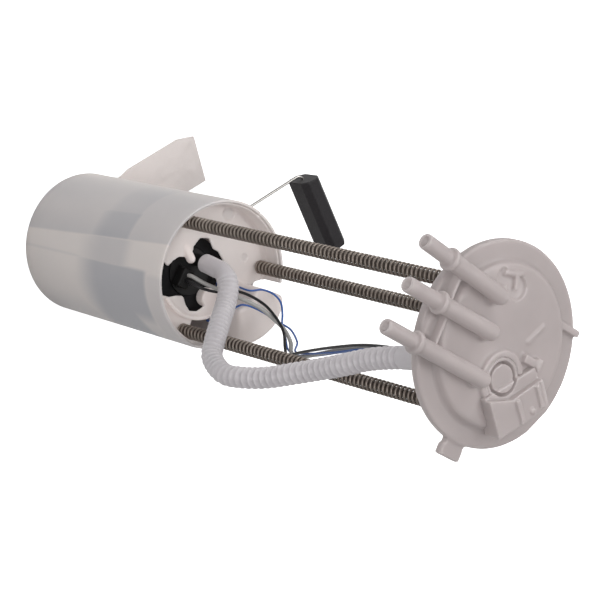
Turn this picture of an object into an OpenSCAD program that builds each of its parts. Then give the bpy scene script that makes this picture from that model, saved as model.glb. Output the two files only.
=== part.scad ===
// In-tank fuel pump module, standing upright on its reservoir.
// The origin is the middle of the reservoir's foot and +Z runs up to the flange.
// The three supply ports point to -Y and every size is in millimetres.

/* [Flange] */
// Radius of the flange rim
flange_r = 62; // [60:0.5:64]
// Thickness of the flange rim
flange_t = 6.5; // [5:0.5:8]
// Height of the flange rim's top face above the foot
flange_z = 440; // [430:1:450]
// Radius of the raised middle of the flange
dome_r = 49; // [48:0.5:50]
// Height of the raised middle above the rim
dome_h = 5; // [4:0.5:6]

/* [Ports] */
// Outer radius of a port's free end
port_r = 4.75; // [4:0.25:5]
// Radius of the fuel passage in a port
port_bore_r = 3.2; // [2.5:0.1:3.5]
// Height of the port axes above the rim's top face
port_h = 12; // [11:0.5:14]

/* [Reservoir] */
// Outer radius of the reservoir at its mouth
cup_r = 51.5; // [51:0.1:52]
// How much the reservoir narrows towards its foot
cup_taper = 1.2; // [0.5:0.1:1.5]
// Height of the reservoir's rim
cup_h = 170; // [165:1:175]
// Thickness of the reservoir's wall
cup_wall = 2; // [1.6:0.1:2.2]
// Height of the cover plate's top face
cover_z = 153; // [152:0.5:154]

/* [Rods and springs] */
// Radius of the circle that the rods stand on
rod_circle_r = 43; // [42.5:0.1:43.2]
// Radius of a guide rod
rod_r = 2.5; // [2:0.1:2.6]
// Outer radius of a coil spring
spring_r = 4.7; // [4.4:0.1:4.8]
// Radius of the spring wire
spring_wire_r = 0.8; // [0.6:0.05:0.85]
// Rise of one turn of the spring
spring_pitch = 3.85; // [3.4:0.05:4.2]

/* [Level sensor] */
// Direction in which the level sensor stands off the reservoir
sensor_angle = 146; // [144:1:148]
// Height of the float arm's pivot
pivot_z = 94; // [90:1:98]
// Length of the float
float_len = 54; // [48:1:56]

/* [Strainer] */
// Direction in which the strainer lies
strainer_angle = 142; // [141:1:143]
// Width of the strainer
strainer_w = 39; // [36:1:40]
// Distance from the axis to the strainer's far end
strainer_reach = 116; // [105:1:120]

/* [Hidden] */
$fn = 64;

rod_angles = [118, 238, 358];
rod_top_z = flange_z - 1;
rod_low_z = 122;
flange_low_z = flange_z - flange_t;
cup_foot_r = cup_r - cup_taper;
floor_z = 6;
floor_t = 2.5;
plate_t = 2;
seam = 0.3;
run_gap = 0.05;

pump_x = 4;
pump_y = -8;
pump_r = 19;
pump_low_z = 22;
pump_top_z = 132;
outlet_x = -5;
outlet_y = -8;

// Ports, each measured back from its free end: collar, nipple and elbow
port_x = [-28, -2, 24.5];
port_tip_y = [-94, -94, -97];
port_turn = [-4.2, 0, 0];
collar_at = [21.5, 26.5, 24];
nipple_at = [70, 70, 71];
elbow_at = [70, 73.5, 84];
nipple_low_z = [422, 422, 410];
port_z = flange_z + port_h;
port_body_r = port_r + 0.5;
collar_r = port_r + 2.2;
collar_t = 3.5;

function port_point(i, along) = [
    port_x[i] - along * sin(port_turn[i]), port_tip_y[i] + along * cos(port_turn[i])];

// Well of the connector, and its socket in a frame turned to the plug's direction
well_x = 17.5;
well_y = 6.5;
well_r = 12.5;
well_ring_r = 16.5;
well_ring_h = 2.5;
connector_angle = 48;
socket_back = 21;
roof_back = 28;
socket_front = 47;
socket_side = 21;
socket_v = -5;
connector_top = flange_z + 13;
step_top = connector_top - 4;
plug_x = 15.5;
plug_y = 3;

arm_plane = -8;
arm_start_x = 62;
arm_reach = 129;
arm_rise = 10;
arm_tilt = atan2(arm_rise, arm_reach - arm_start_x);
wire_r = 1;
bend_r = 5;

hose_r = 6.5;
grey_wire_r = 1.15;
black_wire_r = 1;
blue_wire_r = 0.6;

// Routes of the hose and wires, from the pump or sensor up to the flange
hose_route = [
    [-5, -8, 152], [-5, -8, 165], [-2, -6, 177], [7, -4, 186], [20, -5, 192], [33, -10.5, 199.5],
    [47, -15.5, 206.5], [58, -17, 214], [65, -15, 230], [64.5, -14.5, 250], [59.5, -14, 271.5],
    [52, -15, 295], [44, -16, 320], [38, -19, 343], [32, -22, 366], [27, -25, 392],
    [24.5, -26, 412], [24.5, -26, 424]
];
grey_route = [
    [8, -14, 152.2], [8, -13, 157], [9, -6, 162], [9.5, 1, 171], [9.5, 11, 183],
    [10.5, 23, 192.5], [14, 33, 199], [18, 37, 207.5], [24.5, 38, 217], [32, 35.5, 226],
    [33, 31, 243], [25, 16.5, 291.5], [20, 4.5, 337], [15.5, 2, 379], [13, 2, 412], [13, 2, 422]
];
black_route = [
    [12, -14, 152.2], [12, -13, 157], [13, -7, 163], [10.5, 4.5, 167], [5, 13.5, 177],
    [6.5, 24, 190.5], [12.5, 31, 201.5], [20, 34.5, 210.5], [30, 34.5, 218.5], [35.5, 31.5, 228],
    [32, 25, 245.5], [24.5, 12, 292], [19.5, 0.5, 336.5], [16.5, -1.5, 381], [17, 2, 412],
    [17, 2, 422]
];
long_blue_route = [
    [-37, 25, 106], [-28, 22, 118], [-14, 19, 132], [-3, 18, 142], [2, 18, 152], [1, 18, 166],
    [1.5, 18.5, 179.5], [-2.5, 25, 184], [-2.5, 30.5, 190], [1, 34.5, 195.5], [8, 36.5, 199.5],
    [15, 37.5, 202.5], [23, 39.5, 209], [30.5, 40, 217.5], [31.5, 33, 245.5], [24, 22, 291],
    [18, 9, 336.5], [11, 5, 380], [13, 6, 412], [13, 6, 422]
];
short_blue_route = [
    [-37, 25, 102], [-24, 27, 110], [0, 34, 122], [20, 29, 136], [29, 18, 150], [25, 16, 164],
    [14.5, 15, 179], [12, 17.5, 183.5], [11.5, 24, 188], [12.5, 32.5, 193.5], [14, 37.5, 199],
    [16, 41.5, 208], [23, 40.5, 220.5], [31.5, 30.5, 237], [28, 15.5, 286.5], [22, 2.5, 333],
    [20, -3.5, 379], [20.5, 3, 412], [20.5, 3, 422]
];

// Smooth curve through a route and the tube that follows it

function curve_point(a, b, c, d, t) =
    0.5 * (2 * b + t * (c - a) + t * t * (2 * a - 5 * b + 4 * c - d)
    + t * t * t * (3 * b - a - 3 * c + d));

function smooth_route(p, steps) = concat(
    [for (i = [0:len(p) - 2], s = [0:steps - 1])
        curve_point(p[max(i - 1, 0)], p[i], p[i + 1], p[min(i + 2, len(p) - 1)], s / steps)],
    [p[len(p) - 1]]);

function unit(v) = v / norm(v);

function ring_tangent(p, i) = unit(p[min(i + 1, len(p) - 1)] - p[max(i - 1, 0)]);

// One ring of a tube, squared to its route
function ring_points(p, i, r, sides, side_hint) =
    let (t = ring_tangent(p, i), u = unit(cross(side_hint, t)), v = cross(t, u))
    [for (k = [0:sides - 1]) p[i] + r * (cos(360 * k / sides) * u + sin(360 * k / sides) * v)];

module tube(p, r, sides, side_hint = [0.3, 1, 0.1]) {
    n = len(p);
    polyhedron(
        points = [for (i = [0:n - 1]) each ring_points(p, i, r, sides, side_hint)],
        faces = concat(
            [[for (k = [0:sides - 1]) sides - 1 - k]],
            [for (i = [0:n - 2], k = [0:sides - 1], half = [0, 1])
                let (a = i * sides + k, b = i * sides + (k + 1) % sides)
                half == 0 ? [a, b, b + sides] : [a, b + sides, a + sides]],
            [[for (k = [0:sides - 1]) (n - 1) * sides + k]]),
        convexity = 8);
}

module at_rods() {
    for (a = rod_angles)
        rotate([0, 0, a])
            translate([rod_circle_r, 0, 0])
                children();
}

module pipe(r_out, r_in, h) {
    difference() {
        cylinder(r = r_out, h = h);
        translate([0, 0, -1])
            cylinder(r = r_in, h = h + 2);
    }
}

// Sector of a ring between two radii and two angles
module ring_sector(r_in, r_out, z_low, z_high, a_from, a_to) {
    rotate([0, 0, a_from])
        rotate_extrude(angle = a_to - a_from)
            translate([r_in, z_low])
                square([r_out - r_in, z_high - z_low]);
}

// Reservoir and what stands in it

rim_cut_z = 160;
window_z = 140;
ledge_z = cover_z - plate_t;

module cup_profile() {
    foot_in = cup_foot_r - cup_wall;
    mouth_in = cup_r - cup_wall;
    ledge_in = mouth_in - 2.2;
    polygon([
        [0, floor_z], [foot_in, floor_z], [foot_in, 0], [cup_foot_r - 1, 0], [cup_foot_r, 1.5],
        [cup_r, cup_h], [mouth_in, cup_h], [mouth_in, ledge_z], [ledge_in, ledge_z],
        [ledge_in, ledge_z - 2], [mouth_in - 0.2, ledge_z - 5],
        [foot_in, floor_z + floor_t], [0, floor_z + floor_t]
    ]);
}

module reservoir() {
    color([0.86, 0.88, 0.9, 0.75])
    difference() {
        union() {
            rotate_extrude($fn = 128)
                cup_profile();
            cylinder(r = 8, h = floor_z + 0.5);
            // Ring that centres the pump's inlet cap
            translate([pump_x, pump_y, floor_z + floor_t - 0.5])
                pipe(15, 12.6, 6);
        }
        // Lowered rim and the window beside the wiring shelf
        ring_sector(46, 54, rim_cut_z, cup_h + 1, 2, 95);
        ring_sector(46, 54, window_z, cup_h + 1, 94, 107);
        // Ledge stays clear of the rods' sleeves
        at_rods()
            translate([0, 0, ledge_z - 8])
                cylinder(r = 6, h = 10);
        // Small key notch in the rim
        rotate([0, 0, 168.7])
            translate([46, -1, cup_h - 4])
                cube([8, 2, 6]);
        // Slot that lets the strainer out, its neck's hole and the foot valve's hole
        rotate([0, 0, strainer_angle])
            translate([34, -10, -1])
                cube([20, strainer_w + 3, floor_z]);
        rotate([0, 0, strainer_angle])
            translate([30, 11, floor_z - 1])
                cylinder(r = 6 + run_gap, h = floor_t + 2);
        translate([-14, -30, floor_z - 1])
            cylinder(r = 2 + run_gap, h = floor_t + 2);
        // Slots that hold the level sensor's bracket
        rotate([0, 0, sensor_angle])
            for (z = [82, 106])
                translate([44, -3, z - 3])
                    cube([10, 6, 6]);
    }
}

gap_from = 6;
gap_to = 92;

retainer_x = 2;
retainer_y = -6;
retainer_r = 33;
boss_x = 14.8;
boss_y = 10.5;
boss_r = 6.5;
boss_h = 8;

// Opening over the pump, with a lobe beside the hose and one beside the plug
module cover_opening() {
    difference() {
        polygon([
            [-2, -22], [0, -27], [4, -30], [9, -32], [6, -41], [20, -46], [34, -37], [28, -26],
            [27, -21], [24, -16], [22, -11], [26, -7], [29, -1], [27, 5], [23, 8], [15, 11],
            [11, 15], [6, 13], [2, 12], [-1, 8], [-4, 8], [-12, 9], [-16, 2], [-16, -3], [-19, -7],
            [-21, -10], [-18, -17], [-11, -19], [-8, -18]
        ]);
        translate([boss_x, boss_y])
            circle(r = boss_r);
    }
}

module cover_outline() {
    difference() {
        circle(r = plate_r, $fn = 128);
        // The wires use the open quarter outside the retainer, and a hole inside it
        difference() {
            polygon(concat([[0, 0]],
                [for (a = [gap_from, 35, 64, gap_to]) 90 * [cos(a), sin(a)]]));
            translate([retainer_x, retainer_y])
                circle(r = retainer_r - 0.5);
        }
        translate([1, 19])
            circle(r = 5);
        cover_opening();
    }
}

// Finger that rises over the opening beside the hose
module cover_finger() {
    translate([-9, -25, cover_z - 1.6])
        rotate([0, -20, 47])
            translate([0, -3.4, 0])
                cube([13, 6.8, 2]);
}

plate_r = cup_r - cup_wall - seam - 0.1;
shelf_r_in = 24;
shelf_r_out = plate_r - 0.1;
shelf_top = 181;
shelf_from = 50;
shelf_to = 94;
shelf_arch_r = 42;
sleeve_low_z = 130;

// Cylinder lying across the shelf that its arched top and hollow follow
module shelf_arch(r) {
    rotate([0, 0, (shelf_from + shelf_to) / 2])
        translate([shelf_r_in - 5, 0, shelf_top - shelf_arch_r])
            rotate([0, 90, 0])
                cylinder(r = r, h = cup_r - shelf_r_in + 10, $fn = 128);
}

// Raised wiring shelf: arched top with a lip over the rim, and hollow below
module wiring_shelf() {
    difference() {
        intersection() {
            union() {
                ring_sector(shelf_r_in, shelf_r_out, ledge_z + 0.5, shelf_top + 1,
                    shelf_from, shelf_to);
                ring_sector(shelf_r_out - 1, cup_r - 0.1, cup_h + 1, shelf_top + 1,
                    shelf_from, shelf_to);
            }
            shelf_arch(shelf_arch_r);
        }
        intersection() {
            ring_sector(shelf_r_in + 2, shelf_r_out - 2, ledge_z - 1, shelf_top,
                shelf_from + 3, shelf_to - 3);
            shelf_arch(shelf_arch_r - 2);
        }
    }
}

module cover() {
    color([0.93, 0.93, 0.92])
    difference() {
        union() {
            translate([0, 0, ledge_z])
                linear_extrude(plate_t)
                    cover_outline();
            at_rods()
                translate([0, 0, sleeve_low_z])
                    cylinder(r = 5.4, h = cover_z - sleeve_low_z);
            wiring_shelf();
            // Curved retainer along the pump's near side
            translate([retainer_x, retainer_y, 0])
                ring_sector(retainer_r - 2.5, retainer_r, ledge_z - 6, cover_z + 3, -35, 61);
            translate([boss_x, boss_y, cover_z - boss_h])
                cylinder(r = boss_r, h = boss_h + 0.5);
            cover_finger();
        }
        at_rods()
            translate([0, 0, sleeve_low_z - 1])
                cylinder(r = rod_r + run_gap, h = cover_z - sleeve_low_z + 2);
        // Shallow moulding dimples
        translate([-21, 23.7, cover_z - 0.8])
            cylinder(r = 3, h = 2);
        translate([-42, -3, cover_z - 0.8])
            cylinder(r = 5, h = 2);
    }
}

module pump_isolator() {
    color([0.08, 0.08, 0.08])
    translate([pump_x, pump_y, 0])
        difference() {
            union() {
                translate([0, 0, 120])
                    cylinder(r = 21, h = 24);
                translate([0, 0, 137])
                    cylinder(r = 25, h = 7);
                for (a = [20, 110, 200, 290])
                    rotate([0, 0, a])
                        translate([19, -4, 134])
                            cube([4.4, 8, 9]);
                // Lug that reaches to the near wall below the opening
                rotate([0, 0, 308])
                    translate([18, -12, 137.5])
                        cube([19.5, 24, 6]);
            }
            translate([0, 0, 119])
                cylinder(r = pump_r + run_gap, h = 22);
            translate([0, 0, 140])
                cylinder(r = 16.5, h = 6);
        }
}

module pump_case() {
    color([0.62, 0.63, 0.65])
    translate([pump_x, pump_y, pump_low_z])
        pipe(pump_r, pump_r - 1, pump_top_z - pump_low_z);
}

module pump_inlet_cap() {
    color([0.12, 0.12, 0.13])
    translate([pump_x, pump_y, 0])
        difference() {
            union() {
                translate([0, 0, 14.5])
                    cylinder(r = pump_r, h = pump_low_z - 14.5);
                translate([0, 0, pump_low_z - 0.5])
                    cylinder(r = pump_r - 1 - run_gap, h = 3);
                translate([0, 0, floor_z + floor_t])
                    cylinder(r = 12.5, h = 7);
            }
            translate([0, 0, 18])
                cylinder(r = 1.5 + run_gap, h = 10);
            translate([9, 0, 7])
                cylinder(r = 2.5, h = 20);
        }
}

module pump_outlet_cap() {
    color([0.1, 0.1, 0.1])
    difference() {
        union() {
            translate([pump_x, pump_y, pump_top_z])
                cylinder(r = pump_r, h = 8);
            translate([pump_x, pump_y, pump_top_z + 7.5])
                cylinder(r = 16.3, h = 5);
            translate([pump_x, pump_y, pump_top_z - 5])
                cylinder(r = pump_r - 1 - run_gap, h = 6);
            // Outlet spigot that the hose pushes over
            translate([outlet_x, outlet_y, pump_top_z + 12])
                cylinder(r = 4.2, h = 18);
        }
        translate([pump_x, pump_y, pump_top_z - 6])
            cylinder(r = 1.5 + run_gap, h = 9);
        translate([outlet_x, outlet_y, pump_top_z - 6])
            cylinder(r = 3, h = 50);
    }
}

module pump_magnets() {
    color([0.25, 0.24, 0.24])
    translate([pump_x, pump_y, 0])
        for (a = [20, 200])
            ring_sector(14, pump_r - 1 - run_gap, 48, 108, a, a + 140);
}

module pump_rotor() {
    color([0.72, 0.45, 0.25])
    translate([pump_x, pump_y, 0]) {
        translate([0, 0, 18.5])
            cylinder(r = 1.5, h = 115.5);
        translate([0, 0, 50])
            cylinder(r = 12.5, h = 56);
        translate([0, 0, 108])
            cylinder(r = 6.5, h = 12);
        // Impeller disc with its ring of blade pockets
        translate([0, 0, 27])
            difference() {
                cylinder(r = 15.5, h = 4);
                for (a = [0:30:330])
                    rotate([0, 0, a])
                        translate([12, -1, -1])
                            cube([2.4, 2, 6]);
            }
    }
}

module pump_plug() {
    low = pump_top_z + 12.5;
    color([0.07, 0.07, 0.07])
    difference() {
        union() {
            translate([4.5, -19, low])
                cube([13, 9, 9]);
            translate([8, -11, low + 1.5])
                cube([6, 4, 5]);
            translate([3, -19, low])
                cube([2, 5, 4]);
        }
        for (x = [8, 12])
            translate([x, -14, low + 7.5])
                cylinder(r = 1.3, h = 4);
    }
}

module foot_valve() {
    color([0.55, 0.2, 0.12])
    translate([-14, -30, 0]) {
        translate([0, 0, floor_z - 1.5])
            cylinder(r = 2, h = floor_t + 3);
        translate([0, 0, floor_z + floor_t])
            cylinder(r1 = 7, r2 = 3, h = 1.8);
        translate([0, 0, floor_z - 2.5])
            cylinder(r1 = 2, r2 = 3.2, h = 2.5);
    }
}

// Strainer

module on_strainer() {
    rotate([0, 0, strainer_angle])
        translate([0, 11, 0])
            children();
}

module strainer_neck() {
    color([0.9, 0.9, 0.88])
    on_strainer()
        translate([30, 0, 0])
            difference() {
                union() {
                    translate([0, 0, 4.6])
                        cylinder(r = 9, h = floor_z - 4.6);
                    translate([0, 0, 5])
                        cylinder(r = 6, h = floor_t + 8);
                    translate([0, 0, floor_z + floor_t])
                        cylinder(r1 = 6.8, r2 = 6, h = 2);
                }
                translate([0, 0, 4])
                    cylinder(r = 4, h = 20);
            }
}

module strainer_pouch() {
    half = strainer_w / 2;
    color([0.95, 0.94, 0.92])
    on_strainer()
        translate([0, 0, 0.2])
            linear_extrude(4.4)
                polygon([
                    [19, -half + 4], [23, -half], [strainer_reach - 3.5, -half],
                    [strainer_reach, half - 4.5], [strainer_reach - 15, half],
                    [23, half], [19, half - 4]
                ]);
}

// Level sensor and float

module on_sensor() {
    rotate([0, 0, sensor_angle])
        children();
}

bracket_x = cup_r - 0.2;
bracket_y = -4.5;
bracket_w = 8;
card_t = 1.2;
hook_z = [82, 106];

module at_pin() {
    on_sensor()
        translate([arm_start_x, bracket_y, pivot_z])
            rotate([90, 0, 0])
                children();
}

// Resistor card: a sector of a ring about the pivot
module card_sector(grow, t) {
    translate([0, 0, -t])
        ring_sector(8 - grow, 13.3 + grow, 0, t + grow, -grow, 125 + grow);
}

module sensor_bracket() {
    color([0.92, 0.92, 0.9])
    difference() {
        union() {
            on_sensor() {
                translate([bracket_x, bracket_y, 74])
                    cube([24.5, 4, 38]);
                translate([bracket_x, bracket_y, 74])
                    cube([18, bracket_w, 38]);
                translate([bracket_x, bracket_y - 4, 74])
                    cube([2, bracket_w + 8, 38]);
                // Two snap hooks that pass through the reservoir's wall
                for (z = hook_z) {
                    translate([47, -2.5, z - 2.5])
                        cube([6, 5, 5]);
                    translate([46.6, -2.5, z - 2.5])
                        cube([2, 5, 6.5]);
                }
            }
            at_pin()
                cylinder(r = 5, h = 0.5);
        }
        at_pin()
            card_sector(run_gap, card_t);
        at_pin()
            translate([0, 0, -bracket_w - 1])
                cylinder(r = 1.5 + run_gap, h = bracket_w + 3);
        // Lightening pockets on the back
        on_sensor()
            for (z = [77, 100])
                translate([bracket_x + 4, bracket_y + 4, z])
                    cube([11, bracket_w, 9]);
    }
}

module sensor_card() {
    color([0.25, 0.35, 0.3])
    at_pin()
        card_sector(0, card_t);
}

module arm_pin() {
    color([0.75, 0.75, 0.76])
    at_pin() {
        translate([0, 0, -bracket_w])
            cylinder(r = 1.5, h = bracket_w + 6.4);
        translate([0, 0, 6.4])
            cylinder(r = 2.6, h = 1);
    }
}

module at_pivot() {
    on_sensor()
        translate([arm_start_x, arm_plane, pivot_z])
            rotate([0, -arm_tilt, 0])
                children();
}

wiper_angle = 60;

// Contact blade that sweeps over the resistor card
module wiper() {
    color([0.8, 0.7, 0.4])
    at_pivot()
        rotate([0, -wiper_angle, 0]) {
            translate([5.6, 2.6, -2])
                cube([7, 0.4, 4]);
            translate([10.7, 2.8, 0])
                rotate([-90, 0, 0])
                    cylinder(r = 1, h = 0.6);
        }
}

arm_len = norm([arm_reach - arm_start_x, arm_rise]);

module float_hub() {
    color([0.93, 0.93, 0.9])
    at_pivot()
        difference() {
            union() {
                translate([0, 2.6, 0])
                    rotate([90, 0, 0])
                        cylinder(r = 7, h = 5.2);
                translate([0, -2.6, -3])
                    cube([16, 5.2, 6]);
            }
            translate([0, 5, 0])
                rotate([90, 0, 0])
                    cylinder(r = 1.5 + run_gap, h = 12);
            translate([8, 0, 0])
                rotate([0, 90, 0])
                    cylinder(r = wire_r + run_gap, h = 12);
        }
}

module float_arm() {
    color([0.78, 0.76, 0.74])
    at_pivot() {
        translate([8.2, 0, 0])
            rotate([0, 90, 0])
                cylinder(r = wire_r, h = arm_len - bend_r - 8.2);
        // Quarter bend into the float's bore
        translate([arm_len - bend_r, -bend_r, 0])
            rotate_extrude(angle = 90)
                translate([bend_r, 0])
                    circle(r = wire_r);
        translate([arm_len, -bend_r, 0])
            rotate([90, 0, 0])
                cylinder(r = wire_r, h = float_len + 3);
    }
}

module float_section(w, h, c) {
    polygon([
        [-w + c, -h], [w - c, -h], [w, -h + c], [w, h - c],
        [w - c, h], [-w + c, h], [-w, h - c], [-w, -h + c]
    ]);
}

module float_body() {
    color([0.09, 0.09, 0.1])
    at_pivot()
        translate([arm_len, -bend_r - 0.5, 0])
            rotate([90, 12, 0])
                difference() {
                    linear_extrude(float_len)
                        float_section(8, 10.5, 4);
                    translate([0, 0, -1])
                        cylinder(r = wire_r + run_gap, h = float_len + 2);
                    // Groove that the arm's bend lies in
                    translate([-8, -1.8, -1])
                        cube([6, 3.6, 3]);
                }
}

module float_clip() {
    color([0.5, 0.5, 0.52])
    at_pivot()
        translate([arm_len, -bend_r - 0.5 - float_len - 0.3, 0])
            rotate([90, 0, 0])
                pipe(3, wire_r, 0.8);
}

// Rods, clips and springs

module guide_rods() {
    color([0.7, 0.7, 0.72])
    at_rods()
        translate([0, 0, rod_low_z])
            cylinder(r = rod_r, h = rod_top_z - rod_low_z);
}

module rod_clips() {
    color([0.35, 0.34, 0.33])
    at_rods()
        translate([0, 0, 128.6])
            difference() {
                cylinder(r = 4.6, h = 1);
                translate([0, 0, -1])
                    cylinder(r = rod_r, h = 3);
                translate([2, -1.2, -1])
                    cube([5, 2.4, 3]);
            }
}

spring_steps = 8;
spring_seat_gap = 0.05;
coil_r = spring_r - spring_wire_r;

// Middle line of a spring with one closed turn at each end
function spring_path(z_low, z_high) =
    let (
        z0 = z_low + spring_wire_r + spring_seat_gap,
        z1 = z_high - spring_wire_r - spring_seat_gap,
        closed = 2 * spring_wire_r + 0.1,
        turns = floor((z1 - z0 - 2 * closed) / spring_pitch),
        pitch = (z1 - z0 - 2 * closed) / turns,
        n = (turns + 2) * spring_steps)
    [for (i = [0:n])
        let (
            turn = i / spring_steps,
            z = z0 + closed * min(turn, 1) + pitch * min(max(turn - 1, 0), turns)
                + closed * max(turn - 1 - turns, 0))
        [coil_r * cos(360 * turn), coil_r * sin(360 * turn), z]];

module coil_spring() {
    tube(spring_path(cover_z, flange_low_z), spring_wire_r, 3, [0, 0, 1]);
}

module spring_at(i) {
    color([0.36, 0.33, 0.3])
    rotate([0, 0, rod_angles[i]])
        translate([rod_circle_r, 0, 0])
            coil_spring();
}

module spring_back() { spring_at(0); }
module spring_left() { spring_at(1); }
module spring_front() { spring_at(2); }

// Flange with its three ports

module flange_profile() {
    polygon([
        [0, flange_z + dome_h - 3.5], [46, flange_z + dome_h - 3.5], [46.5, flange_z + 1],
        [48.6, flange_low_z - 6], [50.4, flange_low_z - 6], [50.4, flange_low_z],
        [flange_r - 1, flange_low_z], [flange_r, flange_low_z + 1], [flange_r, flange_z - 0.8],
        [flange_r - 0.8, flange_z], [dome_r + 2, flange_z], [dome_r + 0.6, flange_z + 1],
        [dome_r, flange_z + dome_h - 2], [dome_r - 1.6, flange_z + dome_h - 0.4],
        [dome_r - 4, flange_z + dome_h], [0, flange_z + dome_h]
    ]);
}

// Puts a part made along +Y from a port's free end in that port's place
module at_port(i) {
    translate([port_x[i], port_tip_y[i], port_z])
        rotate([0, 0, port_turn[i]])
            children();
}

module along_port(from, to, r) {
    translate([0, from, 0])
        rotate([-90, 0, 0])
            cylinder(r = r, h = to - from);
}

module port(i) {
    tip = 1;
    at_port(i) {
        // Chamfered tip, and the collar that a hose or coupling stops at
        rotate([-90, 0, 0])
            cylinder(r1 = port_r - 0.8, r2 = port_r, h = tip);
        along_port(tip, elbow_at[i], port_r);
        along_port(collar_at[i], collar_at[i] + collar_t, collar_r);
        along_port(collar_at[i] + 1, elbow_at[i], port_body_r);
        translate([0, elbow_at[i], 0])
            sphere(r = port_body_r);
        translate([0, elbow_at[i], -port_h])
            cylinder(r = port_body_r, h = port_h);
    }
}

// Upright web below a port, from the dome out to the collar
module port_web(i) {
    at_port(i)
        translate([-1.5, 0, 0])
            rotate([90, 0, 90])
                linear_extrude(3)
                    polygon([
                        [elbow_at[i], dome_h - 1 - port_h], [elbow_at[i], 0],
                        [collar_at[i] + 1, 0], [collar_at[i] + 1, -6],
                        [40, -1 - port_h], [54, -1 - port_h]
                    ]);
}

module port_bores(i) {
    at_port(i) {
        along_port(-1, nipple_at[i], port_bore_r);
        translate([0, nipple_at[i], nipple_low_z[i] - port_z - 1])
            cylinder(r = port_bore_r, h = port_z - nipple_low_z[i] + 1);
    }
}

module nipple(i) {
    at_port(i)
        translate([0, nipple_at[i], nipple_low_z[i] - port_z]) {
        cylinder(r = 4.6, h = flange_z - nipple_low_z[i] + 3);
        for (z = [2, 6])
            translate([0, 0, z - 1])
                cylinder(r1 = 4.7, r2 = 5.2, h = 2);
    }
}

module flange_ribs() {
    // Cross webs between the ports, along the rim's near edge
    translate([port_x[0], -56, flange_z - 1])
        cube([port_x[1] - port_x[0], 2, port_h - 2]);
    translate([port_x[1], -53, flange_z - 1])
        cube([port_x[2] - port_x[1], 2, port_h - 3]);
    // Low pads on the rim between the ports
    translate([-23, -57, flange_z - 1])
        cube([11.5, 7.5, 2.6]);
    translate([4, -59, flange_z - 1])
        cube([12, 7, 2.4]);
    // Fine rib across the dome
    translate([-9, 15.5, flange_z + dome_h - 1])
        rotate([0, 0, 60])
            cube([1.4, 16, 1.8]);
    // Stiffening ribs below the dome
    for (a = rod_angles)
        rotate([0, 0, a])
            translate([0, -1, flange_low_z])
                cube([rod_circle_r - 4, 2, flange_t + 2]);
}

module flange_tabs() {
    // Index tab that lies across the rim
    translate([-31, 36, flange_z - 3])
        cube([4, 20, 6.5]);
    // Stepped anti-turn tab at the edge
    translate([flange_r - 3, -7.5, flange_low_z])
        cube([8, 15, 5]);
    translate([flange_r + 3, -9, flange_low_z])
        cube([7, 17, 5]);
}

// Raised ring round the connector's well, and the latch bar behind its socket
module flange_collar() {
    translate([well_x, well_y, flange_z + dome_h - 1])
        cylinder(r = well_ring_r, h = well_ring_h + 1);
    translate([-2, 16.5, flange_z + dome_h - 1])
        cube([5, 14, 5]);
    translate([-3.5, 26.5, flange_z + dome_h - 1])
        cube([8, 3.5, 6.2]);
}

pocket_depth = 2;

// Two-lobed pocket beside the first port, and the T that stands in it
module flange_pocket() {
    translate([-33.5, -8, flange_z + dome_h - pocket_depth])
        cylinder(r = 7.5, h = 3);
    translate([-35.5, -20, flange_z + dome_h - pocket_depth])
        cylinder(r = 5.5, h = 3);
}

module pocket_post() {
    low = flange_z + dome_h - pocket_depth - 1;
    translate([-39.5, -22, low])
        rotate([0, 0, 18])
            cube([3.6, 15, pocket_depth + 1.8]);
    translate([-41, -14, low])
        rotate([0, 0, 20])
            cube([10.5, 3.6, pocket_depth + 2.2]);
}

module flange() {
    color([0.88, 0.88, 0.87])
    difference() {
        union() {
            rotate_extrude($fn = 128)
                flange_profile();
            at_rods()
                translate([0, 0, flange_low_z])
                    cylinder(r = 5, h = flange_t + 2);
            for (i = [0:2]) {
                port(i);
                port_web(i);
                nipple(i);
            }
            flange_ribs();
            flange_tabs();
            flange_collar();
        }
        for (i = [0:2])
            port_bores(i);
        at_rods()
            translate([0, 0, flange_low_z - 1])
                cylinder(r = rod_r, h = rod_top_z - flange_low_z + 1);
        flange_pocket();
        // Well for the connector housing
        translate([well_x, well_y, flange_low_z - 8])
            cylinder(r = well_r + run_gap, h = 30);
        connector_recess();
        // Flat on the rim that lines up with the tank's ring
        rotate([0, 0, 62])
            translate([flange_r - 0.9, -12, flange_low_z - 1])
                cube([4, 24, flange_t + 2]);
    }
    pocket_post();
}

// Electrical connector

module at_connector() {
    rotate([0, 0, connector_angle])
        children();
}

module connector_recess() {
    at_connector()
        translate([socket_back - run_gap, socket_v - socket_side - run_gap, flange_z + 0.6])
            cube([socket_front - socket_back + 3, 2 * (socket_side + run_gap), 20]);
}

// Roof of the socket, cut back at one corner
module socket_roof() {
    side_a = socket_v - socket_side;
    side_b = socket_v + socket_side;
    polygon([
        [socket_back + 1, side_a], [roof_back + 1, side_a + 16], [roof_back, side_b],
        [socket_front, side_b], [socket_front, side_a]
    ]);
}

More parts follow.
